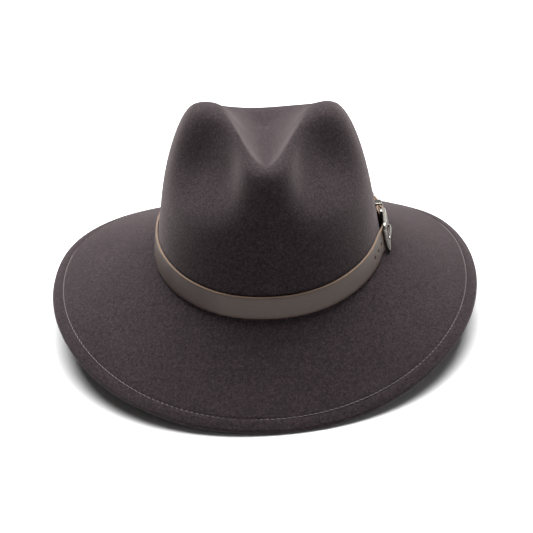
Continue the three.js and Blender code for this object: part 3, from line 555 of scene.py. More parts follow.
def grid_faces(rows, columns, rows_close=False, columns_close=True):
    """Four-sided faces of a grid stored row by row, and each face corner's (column, row) before wrapping."""
    row, column = np.meshgrid(np.arange(rows if rows_close else rows - 1),
                              np.arange(columns if columns_close else columns - 1), indexing="ij")
    row, column = row.ravel(), column.ravel()
    corners = [(row, column), (row, column + 1), (row + 1, column + 1), (row + 1, column)]
    faces = np.stack([(r % rows) * columns + c % columns for r, c in corners], -1)
    places = np.stack([np.stack([c, r], -1) for r, c in corners], 1)
    return faces, places


def grid_uv(places, width, height, columns, rows):
    """Surface coordinates in metres for the corners that grid_faces gives."""
    return (places * np.array([width / columns, height / max(rows - 1, 1)]) * MM).reshape(-1, 2)


def smooth_path(points, spacing):
    """A Catmull-Rom curve through the points, with about this spacing. Each point may hold more than two numbers."""
    points = np.asarray(points, float)
    padded = np.vstack([2 * points[0] - points[1], points, 2 * points[-1] - points[-2]])
    made = []
    for index in range(1, len(points)):
        before, start, end, after = padded[index - 1:index + 3]
        count = max(1, math.ceil(np.linalg.norm((end - start)[:2]) / spacing))
        share = np.linspace(0, 1, count, endpoint=False)[:, None]
        # slopes allow for uneven spacing, so that a short step beside a long one doesn't overshoot
        span = np.linalg.norm((end - start)[:2]) + 1e-9
        left = np.linalg.norm((start - before)[:2]) + 1e-9
        right = np.linalg.norm((after - end)[:2]) + 1e-9
        slope_in = ((start - before) / left * span + (end - start) / span * left) / (left + span) * span
        slope_out = ((end - start) / span * right + (after - end) / right * span) / (right + span) * span
        square, cube = share ** 2, share ** 3
        made.append((2 * cube - 3 * square + 1) * start + (cube - 2 * square + share) * slope_in
                    + (3 * square - 2 * cube) * end + (cube - square) * slope_out)
    return np.vstack([*made, points[-1:]])


def smoothstep(value):
    value = np.clip(value, 0, 1)
    return value * value * (3 - 2 * value)


# ---------------------------------------------------------------- the shape of the hat, in millimetres
def signed_power(value, power):
    return np.sign(value) * np.abs(value) ** power


def oval_point(angle):
    return np.stack([CROWN_HALF_WIDTH * signed_power(np.sin(angle), 2 / OVAL_POWER),
                     -CROWN_HALF_LENGTH * signed_power(np.cos(angle), 2 / OVAL_POWER)], -1)


def oval_outward(angle):
    along = oval_point(angle + 1e-3) - oval_point(angle - 1e-3)
    along /= np.linalg.norm(along, axis=-1, keepdims=True)
    return np.stack([along[..., 1], -along[..., 0]], -1)


def join_height(angle):
    return -ROCKER * np.cos(2 * angle)


def ridge_point(angle):
    middle, half = (RIDGE_FRONT + RIDGE_BACK) / 2, (RIDGE_BACK - RIDGE_FRONT) / 2
    y = middle - half * np.cos(angle)
    x = RIDGE_HALF_WIDTH * np.sin(angle) * np.hypot(np.sin(angle / 2), TIP_ROUND)
    away = y - RIDGE_TOP_AT
    slope = np.where(away < 0, RIDGE_SLOPE_FRONT, RIDGE_SLOPE_BACK)
    return np.stack([x, y, RIDGE_HEIGHT - RIDGE_TILT * x - slope * (np.hypot(away, RIDGE_ROUND) - RIDGE_ROUND)], -1)


def wall_share(up):
    """How far out from the ridge the wall stands: 1 at the join and 0 at the ridge."""
    return (1 - WALL_LEAN * up) * np.clip(1 - np.maximum(up, 0) ** WALL_POWER, 0, 1) ** (1 / WALL_POWER)


def wall_point(angle, up):
    base, ridge = oval_point(angle), ridge_point(angle)
    out = wall_share(up)
    level = ridge[..., :2] + (base - ridge[..., :2]) * out[..., None]
    height = join_height(angle) + (ridge[..., 2] - join_height(angle)) * up
    return np.concatenate([level, height[..., None]], -1)


def dent_point(angle, reach):
    ridge = ridge_point(angle)
    middle, half = (CREASE_FRONT + CREASE_BACK) / 2, (CREASE_BACK - CREASE_FRONT) / 2
    crease_y = middle - half * np.cos(angle)
    crease_z = np.interp(crease_y, [CREASE_FRONT, CREASE_BACK], [CREASE_HEIGHT_FRONT, CREASE_HEIGHT_BACK])
    return np.stack([ridge[..., 0] * reach, crease_y + (ridge[..., 1] - crease_y) * reach,
                     crease_z + (ridge[..., 2] - crease_z) * smoothstep(reach)], -1)


def pinch_in(points):
    shaped = points.copy()
    for side in (-1, 1):
        away = (PINCH_AT * [side, 1, 1] - shaped) / PINCH_SIZE
        push = PINCH_DEPTH * np.exp(-(np.sum(away[..., :2] ** 2, -1) ** 1.3) - away[..., 2] ** 4)
        shaped[..., 0] -= side * PINCH_INWARD[0] * push
        shaped[..., 1] += PINCH_INWARD[1] * push
    return shaped


def lean_over(points):
    turn = math.radians(CROWN_LEAN) * np.clip(points[..., 2] / RIDGE_HEIGHT, 0, 1)
    x, z = points[..., 0], points[..., 2]
    return np.stack([x * np.cos(turn) + z * np.sin(turn), points[..., 1], z * np.cos(turn) - x * np.sin(turn)], -1)


def brim_width(angle):
    return BRIM_WIDTH - BRIM_SKEW * np.sin(angle)


def brim_point(angle, along, above):
    mean, swing = (DROOP_ENDS + DROOP_SIDES) / 2, (DROOP_ENDS - DROOP_SIDES) / 2
    droop = np.radians(mean + swing * np.cos(2 * angle) + DROOP_SKEW * np.sin(angle))
    out = oval_outward(angle) * (along * np.cos(droop) + above * np.sin(droop))[..., None]
    height = join_height(angle) - along * np.sin(droop) + above * np.cos(droop)
    return np.concatenate([oval_point(angle) + out, height[..., None]], -1)


def wall_lean_in(angle, up):
    ridge = ridge_point(angle)
    across = np.sum((oval_point(angle) - ridge[..., :2]) * oval_outward(angle), -1)
    return across * (1 - wall_share(up / (ridge[..., 2] - join_height(angle))))


def by_the_wall(angle, off, up):
    """A point off the crown's lower wall outwards, and up from the join."""
    level = oval_point(angle) + oval_outward(angle) * (off - wall_lean_in(angle, up))[..., None]
    return lean_over(np.concatenate([level, (join_height(angle) + up)[..., None]], -1))


TURN = np.radians(BAR_ANGLE + np.linspace(0, 360, 1441))
BAND_WALK = np.concatenate([[0], np.cumsum(np.linalg.norm(np.diff(oval_point(TURN), axis=0), axis=1))])
BAND_LENGTH = BAND_WALK[-1]


def bend_round_crown(flat):
    """Takes points drawn flat (along the band from the bar, off the felt, up from the join) round the crown."""
    flat = np.asarray(flat, float)
    angle = np.interp(np.mod(flat[..., 0], BAND_LENGTH), BAND_WALK, TURN)
    return by_the_wall(angle, flat[..., 1], flat[..., 2])


# ---------------------------------------------------------------- felt
def angles_round(columns=COLUMNS):
    return np.linspace(0, 2 * np.pi, columns, endpoint=False)


def crease_column(columns=COLUMNS):
    """Columns either side of the middle share one point on the crease."""
    column = np.arange(columns)
    return np.minimum(column, columns - column)


def wall_heights(count, start):
    """Parts of the way up the wall, evenly spaced along the middle of the side."""
    fine = np.linspace(start, 1, 4000)
    side = wall_point(np.full(4000, np.pi / 2), fine)
    walked = np.concatenate([[0], np.cumsum(np.linalg.norm(np.diff(side, axis=0), axis=1))])
    return np.interp(np.linspace(0, walked[-1], count), walked, fine)


def hand_shaped(points):
    """Slow unevenness that shaping by hand and steam leaves, in millimetres."""
    waves = ((0.047, 0.021, 0.033, 0.6, 0.45), (-0.029, 0.052, 0.041, 2.1, 0.35), (0.071, -0.043, 0.058, 4.0, 0.22),
             (0.015, 0.083, -0.067, 5.3, 0.16), (-0.104, 0.037, 0.081, 1.4, 0.10))
    return sum(size * np.sin(points @ np.array([x, y, z]) + phase) for x, y, z, phase, size in waves)


def point_normals(points, faces):
    corners = points[faces]
    across = np.cross(corners[:, 2] - corners[:, 0], corners[:, 3] - corners[:, 1])
    normals = np.zeros_like(points)
    for corner in range(4):
        np.add.at(normals, faces[:, corner], across)
    return normals / np.maximum(np.linalg.norm(normals, axis=1, keepdims=True), 1e-12)


def crown_rows():
    """Outer face of the felt from the crease of the dent, over the ridge and down the wall to 20 mm out on the brim."""
    angle = angles_round()
    rows = []
    for reach in np.linspace(0, 1, 30)[:-1]:
        at = angle[crease_column()] if reach == 0 else angle
        rows.append(lean_over(pinch_in(dent_point(at, np.full(COLUMNS, reach)))))
    foot = JOIN_ROUND / (RIDGE_HEIGHT - 12)
    for up in wall_heights(52, foot)[::-1]:
        rows.append(lean_over(pinch_in(wall_point(angle, np.full(COLUMNS, up)))))
    wall_foot, corner = rows[-1], wall_point(angle, np.zeros(COLUMNS))
    brim_start = brim_point(angle, np.full(COLUMNS, JOIN_ROUND), np.zeros(COLUMNS))
    for share in np.linspace(0, 1, 9)[1:]:
        rows.append((1 - share) ** 2 * wall_foot + 2 * share * (1 - share) * corner + share ** 2 * brim_start)
    for along in (7.5, 10, 13, 16.5, 20):
        rows.append(brim_point(angle, np.full(COLUMNS, along), np.zeros(COLUMNS)))
    return np.array(rows)


def soften_crest(rows, crest, passes=50):
    """Rounds the ridge line, which the dent and the wall otherwise meet in a crease."""
    near = np.exp(-((np.arange(len(rows)) - crest) / 4.5) ** 2)[:, None, None]
    for _ in range(passes):
        around = (np.roll(rows, 1, 1) + np.roll(rows, -1, 1)) / 2
        beside = rows.copy()
        beside[1:-1] = (rows[:-2] + rows[2:]) / 2
        rows = rows + near * 0.5 * ((beside + around) / 2 - rows)
    return rows


def brim_rise(inset):
    """How far the top of the brim stands above its plain plane, by distance in from the middle of the rolled edge."""
    groove = -0.45 * np.exp(-((inset - SEAM_INSET) / 0.8) ** 2)
    padding = 0.35 * np.exp(-((inset - SEAM_INSET / 2) / 2.2) ** 2)
    return groove + padding


def brim_rows():
    """Outer face from 20 mm out, over the rolled edge and under the fold, along the wire's channel and back to 20 mm."""
    angle = angles_round()
    edge = brim_width(angle)
    middle = np.full(COLUMNS, -EDGE_RADIUS)
    lip = edge - FOLD_WIDTH
    rows = [("plain", 20 + (lip - 22) * share, np.zeros(COLUMNS)) for share in np.linspace(0, 1, 22)[1:]]
    insets = (9.8, 9.2, 8.7, 8.3, 7.9, 7.5, 7.1, 6.7, 6.2, 5.4, 4.4, 3.2, 2.0, 0.8)
    rows += [("plain", edge - inset, np.full(COLUMNS, brim_rise(inset))) for inset in insets]
    for turn in np.radians(np.linspace(84, -90, 13)):
        rows.append(("plain", edge + EDGE_RADIUS * np.cos(turn), middle + EDGE_RADIUS * np.sin(turn)))
    for inset in (2.0, 3.8, 5.6, 6.8, 7.5, 8.2, 8.8):
        rows.append(("plain", edge - inset, np.full(COLUMNS, -2 * EDGE_RADIUS - brim_rise(inset) * 0.8)))
    rows.append(("plain", lip - 0.25, middle - EDGE_RADIUS + 0.6))
    rows.append(("plain", lip - 0.25, middle - GAP / 2 - 0.5))
    rows.append(("plain", lip, middle - GAP / 2))
    for turn in np.radians(np.linspace(188, 532, 13)):
        rows.append(("plain", edge - WIRE_INSET + WIRE_CHANNEL * np.cos(turn), middle + WIRE_CHANNEL * np.sin(turn)))
    rows.append(("plain", lip, middle + GAP / 2))
    rows += [("plain", 20 + (lip - 20) * share, np.full(COLUMNS, -FELT)) for share in np.linspace(1, 0, 14)[1:-1]]
    return np.array([brim_point(angle, along, above) for _, along, above in rows])


def make_felt(felt):
    """Crown and brim in one: both faces of the crown, the brim, its folded edge and the wire's channel."""
    outer = soften_crest(crown_rows(), 29)
    faces, _ = grid_faces(len(outer), COLUMNS)
    faces[faces < COLUMNS] = crease_column()[faces[faces < COLUMNS]]
    points = outer.reshape(-1, 3)
    normals = point_normals(points, faces)
    if np.sum(normals[:, 2] * (points[:, 2] > 60)) < 0:
        normals = -normals
    height = points[:, 2]
    free = smoothstep((height - 26) / 30)
    points = points + normals * (hand_shaped(points) * free)[:, None]
    inner = (points - normals * FELT).reshape(outer.shape)
    rows = np.concatenate([points.reshape(outer.shape), brim_rows(), inner[::-1]])
    lowered = rows[len(outer):-len(outer)]
    reach = np.linalg.norm(lowered[..., :2], axis=-1)
    lowered[..., 2] += hand_shaped(lowered * 0.8) * smoothstep((reach - 120) / 40) * 0.8
    faces, _ = grid_faces(len(rows), COLUMNS)
    last = (len(rows) - 1) * COLUMNS
    shared = crease_column()
    faces = np.where(faces < COLUMNS, shared[faces % COLUMNS], faces)
    faces = np.where(faces >= last, last + shared[faces % COLUMNS], faces)
    piece = add_piece("felt", rows.reshape(-1, 3), faces, [felt])
    stand_for(piece, "hat", "felt", "felt_body")
    return rows, normals.reshape(outer.shape), outer.shape[0]


def ring_piece(name, finish, section_at, columns=COLUMNS, uv_size=None):
    """A closed ring round the hat; section_at gives rows of points for all angles at once."""
    rows = section_at(angles_round(columns))
    faces, places = grid_faces(len(rows), columns, rows_close=True)
    uv = grid_uv(places, *(uv_size or (600.0, 10.0)), columns, len(rows))
    return add_piece(name, rows.reshape(-1, 3), faces, [finish], corner_uv=uv)


def wall_ring(name, finish, outline, uv_size=None):
    return ring_piece(name, finish, lambda angle: np.array(
        [by_the_wall(angle, np.full(len(angle), off), np.full(len(angle), up)) for off, up in outline]), uv_size=uv_size)


def circle(centre, radius, start, end, count):
    turn = np.radians(np.linspace(start, end, count))
    return np.stack([centre[0] + radius * np.cos(turn), centre[1] + radius * np.sin(turn)], -1)


def make_wire(steel):
    angle_rows = circle((-WIRE_INSET, -EDGE_RADIUS), 0.8, 0, 360, 13)[:-1]
    piece = ring_piece("edge_wire", steel, lambda angle: np.array(
        [brim_point(angle, brim_width(angle) + off, np.full(len(angle), above)) for off, above in angle_rows]))
    stand_for(piece, "hat", "wire", "brim_wire")


def make_stitches(name, thread, above, dips, cad_node):
    """Lockstitches along the brim: short lengths of thread that dive into the felt at both ends."""
    fine = np.linspace(0, 2 * np.pi, 3601)
    walk = brim_point(fine, brim_width(fine) - SEAM_INSET, np.zeros(3601))
    walked = np.concatenate([[0], np.cumsum(np.linalg.norm(np.diff(walk, axis=0), axis=1))])
    count = round(walked[-1] / 3.9)
    rings, sides = 9, 8
    start = np.arange(count)[:, None] * walked[-1] / count
    uneven = 0.12 * np.sin(np.arange(count) * 12.9898)[:, None]
    share = np.linspace(0, 1, rings)[None, :]
    along = start + uneven + 0.3 + 3.3 * share
    angle = np.interp(np.mod(along, walked[-1]), walked, fine)
    rise = 0.30 * np.sin(np.pi * share) ** 0.6 - 0.62
    turn = np.linspace(0, 2 * np.pi, sides, endpoint=False)
    radius = 0.24 * (0.85 + 0.15 * np.sin(np.pi * share))
    angle, rise = np.repeat(angle[..., None], sides, -1), np.repeat(np.broadcast_to(rise, angle.shape)[..., None], sides, -1)
    radius = np.broadcast_to(radius, angle.shape[:2])[..., None]
    slant = (share - 0.5)[..., None] * 0.5
    off = brim_width(angle) - SEAM_INSET + radius * np.cos(turn) + slant
    points = brim_point(angle, off, above + dips * (rise + 0.2) + radius * np.sin(turn))
    faces = []
    for stitch in range(count):
        base = stitch * rings * sides
        for ring in range(rings - 1):
            for side in range(sides):
                beside = (side + 1) % sides
                low, high = base + ring * sides, base + (ring + 1) * sides
                faces.append((low + side, low + beside, high + beside, high + side))
        faces.append(tuple(range(base, base + sides)))
        faces.append(tuple(range(base + (rings - 1) * sides, base + rings * sides)))
    piece = add_piece(name, points.reshape(-1, 3), faces, [thread])
    stand_for(piece, "hat", "thread", cad_node)


# ---------------------------------------------------------------- inside the crown
def inset_rows(rows, normals, depth):
    return rows - normals * depth


def lining_sheet(name, satin, face_rows, normals, closed_at_crease, flat):
    """A thin sheet at an even distance inside the felt, with small gathers."""
    count = len(face_rows)
    share = np.linspace(0, 1, count)[:, None]
    angle = angles_round()[None, :]
    gathers = 0.35 * np.sin(angle * 64 + 2 * np.sin(angle * 5)) * np.exp(-((1 - share) / 0.25) ** 2)
    depth = LINING_OUT + 0.15 + (gathers + 0.35)
    outside = face_rows - normals * depth[..., None]
    inside = outside - normals * LINING * 0.6
    rows = np.concatenate([outside, inside[::-1]])
    faces, places = grid_faces(len(rows), COLUMNS, rows_close=not closed_at_crease)
    if closed_at_crease:
        last, shared = (len(rows) - 1) * COLUMNS, crease_column()
        faces = np.where(faces < COLUMNS, shared[faces % COLUMNS], faces)
        faces = np.where(faces >= last, last + shared[faces % COLUMNS], faces)
    piece = add_piece(name, rows.reshape(-1, 3), faces, [satin],
                      corner_uv=grid_uv(places, 520, 140, COLUMNS, len(rows)))
    return stand_for(piece, "hat", "satin", flat)


def make_lining(satin, rows, normals, wall_start):
    """rows are the felt's outer rows from the crease outwards; wall_start is the row of the ridge."""
    heights = wall_heights(52, JOIN_ROUND / (RIDGE_HEIGHT - 12))[::-1]
    seam = wall_start + int(np.argmin(np.abs(heights - LINING_SEAM)))
    foot = wall_start + int(np.argmin(np.abs(heights - LINING_BOTTOM)))
    tip_rows, tip_normals = rows[:seam], normals[:seam]
    side_rows, side_normals = rows[seam:foot + 1], normals[seam:foot + 1]
    tip = lining_sheet("lining_top", satin, tip_rows, tip_normals, True, "lining_tip")
    side = lining_sheet("lining_round", satin, side_rows[::-1], side_normals[::-1], False, "lining_side")


def make_sweatband(leather, thread):
    """Leather with a rounded top edge, thinner at the top, and a row of stitches over the reed."""
    inner = SWEATBAND_OFF - SWEATBAND
    bottom = REED_UP + REED_RADIUS + GAP + TAPE
    outline = [(SWEATBAND_OFF, bottom), (SWEATBAND_OFF - 0.3, bottom - 0.1), (inner + 0.2, bottom - 0.1), (inner, bottom + 0.3)]
    outline += [(inner - 0.25 * math.sin(math.pi * share), bottom + (SWEATBAND_HEIGHT - bottom) * share)
                for share in np.linspace(0.04, 0.96, 14)]
    outline += [(inner + 0.05, SWEATBAND_HEIGHT - 0.3), (inner + 0.5, SWEATBAND_HEIGHT), (SWEATBAND_OFF - 0.3, SWEATBAND_HEIGHT),
                (SWEATBAND_OFF, SWEATBAND_HEIGHT - 0.4), (SWEATBAND_OFF, SWEATBAND_HEIGHT / 2)]
    piece = wall_ring("sweat_leather", leather, outline, (560.0, 80.0))
    stand_for(piece, "hat", "sweat_leather", "sweatband")
    stitches = flat_stitches(np.arange(2.0, BAND_LENGTH - 3, 4.2), 2.8, bottom + 1.6, inner - 0.22, -1)
    stand_for(add_piece("sweat_leather_stitches", *stitches, [thread]), "hat", "thread")
    seam = [cross_stitch(BAND_LENGTH / 4 + 2.6 * (-1) ** step, 4 + 2.0 * step, inner - 0.35, step) for step in range(16)]
    points = np.concatenate([part for part, _ in seam])
    faces, start = [], 0
    for part, part_faces in seam:
        faces += [tuple(corner + start for corner in face) for face in part_faces]
        start += len(part)
    stand_for(add_piece("sweat_leather_seam", points, faces, [thread]), "hat", "thread")


def tube(path, radius, sides=8):
    """Points and faces of a round tube with closed ends along a path in band coordinates."""
    path = np.asarray(path, float)
    heading = np.gradient(path, axis=0)
    heading /= np.linalg.norm(heading, axis=1, keepdims=True)
    helper = np.where(np.abs(heading[:, 1:2]) < 0.9, [[0.0, 1.0, 0.0]], [[1.0, 0.0, 0.0]])
    side = np.cross(heading, helper)
    side /= np.linalg.norm(side, axis=1, keepdims=True)
    over = np.cross(side, heading)
    turn = np.linspace(0, 2 * np.pi, sides, endpoint=False)
    radius = np.broadcast_to(radius, len(path))
    points = path[:, None] + radius[:, None, None] * (
        side[:, None] * np.cos(turn)[None, :, None] + over[:, None] * np.sin(turn)[None, :, None])
    faces, _ = grid_faces(len(path), sides)
    faces = [tuple(face) for face in faces.tolist()]
    last = (len(path) - 1) * sides
    faces += [tuple(range(sides)), tuple(range(last, last + sides))]
    return points.reshape(-1, 3), faces


def flat_stitches(starts, length, up, off, side, radius=0.26):
    """A row of stitches lying along the band; side is +1 where the thread faces outwards."""
    points, faces, count = [], [], 0
    for start in starts:
        share = np.linspace(0, 1, 7)
        path = np.stack([start + length * share, off + side * (0.22 * np.sin(np.pi * share) - 0.12),
                         np.full(7, up)], -1)
        part, part_faces = tube(path, radius)
        points.append(bend_round_crown(part))
        faces += [tuple(corner + count for corner in face) for face in part_faces]
        count += len(part)
    return np.concatenate(points), faces


def cross_stitch(along, up, off, step):
    """One leg of the zigzag that joins the sweatband's ends."""
    share = np.linspace(0, 1, 7)
    path = np.stack([along - 5.2 * (-1) ** step * share, off - 0.18 * np.sin(np.pi * share) + 0.1, up + 2.0 * share], -1)
    part, faces = tube(path, 0.26)
    return bend_round_crown(part), faces


def make_reed(plastic, tape):
    reed_off = SWEATBAND_OFF - SWEATBAND / 2
    piece = wall_ring("reed", plastic, circle((reed_off, REED_UP), REED_RADIUS, 0, 360, 13)[:-1])
    stand_for(piece, "hat", "reed", "sweatband_reed")
    inside = REED_RADIUS + GAP
    cup = np.concatenate([circle((reed_off, REED_UP), inside + TAPE, 20, -200, 12),
                          circle((reed_off, REED_UP), inside, -200, 20, 12)])
    piece = wall_ring("reed_binding", tape, cup, (600.0, 12.0))
    stand_for(piece, "hat", "tape", "reed_tape")


def make_bow(ribbon):
    """Flat bow: two loops with a fold down each, and a knot round the middle."""
    half_length, half_height = 10.0, 5.4
    middle = BAND_LENGTH * (1 - (BAR_ANGLE - 90) / 360) / 4
    off = SWEATBAND_OFF - SWEATBAND - 0.75
    points, faces, uv, start = [], [], [], 0
    for side in (1, -1):
        turn = np.linspace(0, 2 * np.pi, 40, endpoint=False)
        across = np.linspace(-1, 1, 9)
        loop_x = side * half_length * (0.5 - 0.5 * np.cos(turn))
        loop_y = 0.33 * np.sin(turn)
        spread = 0.42 + 0.58 * np.sin(np.minimum(np.pi / 2, np.pi * (0.5 - 0.5 * np.cos(turn)) * 0.72)) ** 1.2
        outer = []
        for shift in (0.0, 0.14):
            sheet = np.stack([np.repeat(middle + loop_x[:, None] * (1 - shift / half_length), 9, 1),
                              off + np.repeat(loop_y[:, None] * (1 - shift), 9, 1) - 0.12 * (1 - across ** 2)[None, :],
                              SWEATBAND_HEIGHT / 2 + across[None, :] * half_height * spread[:, None]], -1)
            outer.append(sheet)
        rows = np.concatenate([outer[0].transpose(1, 0, 2), outer[1].transpose(1, 0, 2)[::-1]])
        part, places = grid_faces(len(rows), 40, rows_close=True)
        points.append(bend_round_crown(rows.reshape(-1, 3)))
        faces.append(part + start)
        uv.append(grid_uv(places, 40, 20, 40, len(rows)))
        start += rows.reshape(-1, 3).shape[0]
    turn = np.linspace(0, 2 * np.pi, 24, endpoint=False)
    across = np.linspace(-1, 1, 7)
    knot = np.stack([np.stack([middle + 1.6 * np.sign(np.cos(turn)) * np.abs(np.cos(turn)) ** 0.6 * (1 - 0.12 * lift ** 2),
                               off + 0.62 * np.sign(np.sin(turn)) * np.abs(np.sin(turn)) ** 0.7,
                               np.full(24, SWEATBAND_HEIGHT / 2 + 2.6 * lift)], -1) for lift in across])
    part, places = grid_faces(7, 24)
    points.append(bend_round_crown(knot.reshape(-1, 3)))
    faces.append(part + start)
    uv.append(grid_uv(places, 10, 6, 24, 7))
    piece = add_piece("bow", np.concatenate(points), np.concatenate(faces), [ribbon], corner_uv=np.concatenate(uv))
    stand_for(piece, "hat", "satin", "sweatband_bow")


# ---------------------------------------------------------------- the leather band
def strap_path():
    """Middle line of the strap as (along, off, thickness): folded end, round the bar, round the hat, free end."""
    over_fold = RUN_OUT + STRAP / 2 + GAP + STRAP_SKIVED / 2
    path = [(FOLD_END, over_fold, STRAP_SKIVED), (7, over_fold + 0.1, STRAP_SKIVED), (4.2, over_fold + 0.9, STRAP_SKIVED)]
    path += [(FOLD_OUT * math.cos(turn), BAR_OUT + FOLD_OUT * math.sin(turn), STRAP_SKIVED)
             for turn in np.radians(np.linspace(75, 255, 9))]
    path += [(1.5, RUN_OUT + STRAP / 2 - STRAP_SKIVED / 2, STRAP_SKIVED), (7, RUN_OUT, STRAP), (10, RUN_OUT + 0.2, STRAP),
             (12.5, KEEPER_RUN_OUT, STRAP), (18, KEEPER_RUN_OUT, STRAP), (27, KEEPER_RUN_OUT, STRAP), (33, RUN_OUT, STRAP)]
    path += [(33 + (BAND_LENGTH - 58 - 33) * step / 40, RUN_OUT, STRAP) for step in range(1, 41)]
    window = FRAME_LENGTH - FRAME_RAIL
    under, over = RAIL_OUT - GAP - STRAP / 2, BAR_OUT + FOLD_OUT + STRAP_SKIVED / 2 + GAP + STRAP / 2
    held = KEEPER_RUN_OUT + STRAP + GAP
    free_end = [(-window - 24, RUN_OUT), (-window - 14, RUN_OUT + 0.2), (-window - 8, RUN_OUT + 0.8), (-window - 1, under - 0.05),
                (-window * 0.69, under + (over - under) * 0.44), (-window * 0.37, under + (over - under) * 0.8), (-2, over),
                (3, over - 0.05), (8, held + (over - held) * 0.64), (12, held + 0.2), (15, held), (21, held), (28, held),
                (34, LAP_OUT), (STRAP_END, LAP_OUT)]
    path += [(BAND_LENGTH + along, off, STRAP) for along, off in free_end]
    return smooth_path(path, 1.6)


def strap_section(thickness):
    """Across the strap: (off from its middle, up, is it cut edge), with rounded corners and a slightly full face."""
    half, corner = thickness / 2, min(0.45, thickness * 0.3)
    section = []
    for step in np.linspace(0, 1, 9):
        full = 0.08 * math.sin(math.pi * step)
        section.append((half + full, STRAP_BOTTOM + corner + (STRAP_WIDTH - 2 * corner) * step, 0))
    section += [(half - corner * 0.3, STRAP_TOP - corner * 0.3, 1), (half - corner, STRAP_TOP, 1),
                (0, STRAP_TOP + 0.02, 1), (-half + corner * 0.5, STRAP_TOP, 1)]
    section += [(-half, STRAP_TOP - corner - (STRAP_WIDTH - 2 * corner) * step, 0) for step in np.linspace(0, 1, 5)]
    section += [(-half + corner * 0.5, STRAP_BOTTOM, 1), (0, STRAP_BOTTOM - 0.02, 1), (half - corner, STRAP_BOTTOM, 1),
                (half - corner * 0.3, STRAP_BOTTOM + corner * 0.3, 1)]
    return section


def hole_cutter(along, up, radius, start, end, finish):
    turn = np.linspace(0, 2 * np.pi, 28, endpoint=False)
    rows = [np.stack([along + radius * np.cos(turn), np.full(28, off), up + radius * np.sin(turn)], -1) for off in (start, end)]
    faces, _ = grid_faces(2, 28)
    faces = [tuple(face) for face in faces.tolist()] + [tuple(range(28)), tuple(range(28, 56))]
    return add_piece("cutter", bend_round_crown(np.array(rows).reshape(-1, 3)), faces, [finish])


def slot_cutter(start, end, half, low, high, finish):
    corners = [(x, y, z) for x in (start, end) for y in (low, high) for z in (STRAP_MIDDLE - half, STRAP_MIDDLE + half)]
    faces = [(0, 1, 3, 2), (4, 6, 7, 5), (0, 4, 5, 1), (2, 3, 7, 6), (0, 2, 6, 4), (1, 5, 7, 3)]
    return add_piece("cutter", bend_round_crown(np.array(corners, float)), faces, [finish])


def carve(piece, cutters):
    """Cuts each cutter out of the piece and removes the cutters."""
    for cutter in cutters:
        cut = piece.modifiers.new("cut", "BOOLEAN")
        cut.operation, cut.solver, cut.object = "DIFFERENCE", "EXACT", cutter
        cut.material_mode = "TRANSFER"
        bpy.context.view_layer.update()
        carved = bpy.data.meshes.new_from_object(piece.evaluated_get(bpy.context.evaluated_depsgraph_get()))
        piece.modifiers.clear()
        piece.data = carved
        bpy.data.objects.remove(cutter)


def make_strap(leather, cut_edge):
    stations = strap_path()
    heading = np.gradient(stations[:, :2], axis=0)
    heading /= np.maximum(np.linalg.norm(heading, axis=1, keepdims=True), 1e-9)
    sideways = np.stack([-heading[:, 1], heading[:, 0]], -1)
    # past the fold the walk goes forwards along the band, so its left-hand side faces outwards
    points, is_edge = [], [edge for _, _, edge in strap_section(STRAP)]
    for (along, off, thickness), side in zip(stations, sideways):
        section = strap_section(thickness)
        points.append([(along + side[0] * out, off + side[1] * out, up) for out, up, _ in section])
    points = np.array(points)
    count = points.shape[1]
    wave = 0.10 * np.sin(points[..., 0] * 0.11) * np.sin(points[..., 0] * 0.037 + 1)
    points[..., 2] += wave
    faces, places = grid_faces(len(points), count)
    cut = [int(is_edge[column] and is_edge[(column + 1) % count]) for column in faces[:, 0] % count]
    uv = grid_uv(places[..., ::-1], BAND_LENGTH + 120, 40, len(points), count)
    ends = [tuple(range(count)), tuple(range((len(points) - 1) * count, len(points) * count))]
    all_faces = [tuple(face) for face in faces.tolist()] + ends
    uv = np.concatenate([uv, np.zeros((2 * count, 2))])
    piece = add_piece("band", bend_round_crown(points.reshape(-1, 3)), all_faces, [leather, cut_edge],
                      finish_of_face=cut + [1, 1], corner_uv=uv)
    cutters = [hole_cutter(along, STRAP_MIDDLE, RIVET_RADIUS + GAP, LAP_OUT - STRAP / 2 - GAP / 2, 8, cut_edge)
               for along in TIP_RIVETS_AT]
    cutters.append(hole_cutter(FOLD_RIVET_AT, STRAP_MIDDLE + 0.013, RIVET_RADIUS + GAP, -0.2, BAR_OUT + 0.47, cut_edge))
    for hole in range(HOLE_COUNT):
        low = BAR_OUT + 0.8 if hole == 0 else 0.0
        cutters.append(hole_cutter(-HOLE_FIRST - hole * HOLE_PITCH, STRAP_MIDDLE, HOLE_RADIUS, low, 12, cut_edge))
    half = TONGUE_WIDTH / 2 + GAP
    cutters.append(slot_cutter(-3.2, 3.4, half, 0.0, BAR_OUT + FOLD_OUT + 0.55, cut_edge))
    carve(piece, cutters)
    soften(piece, 50)
    stand_for(piece, "hat", "band_leather", "hatband_strap")


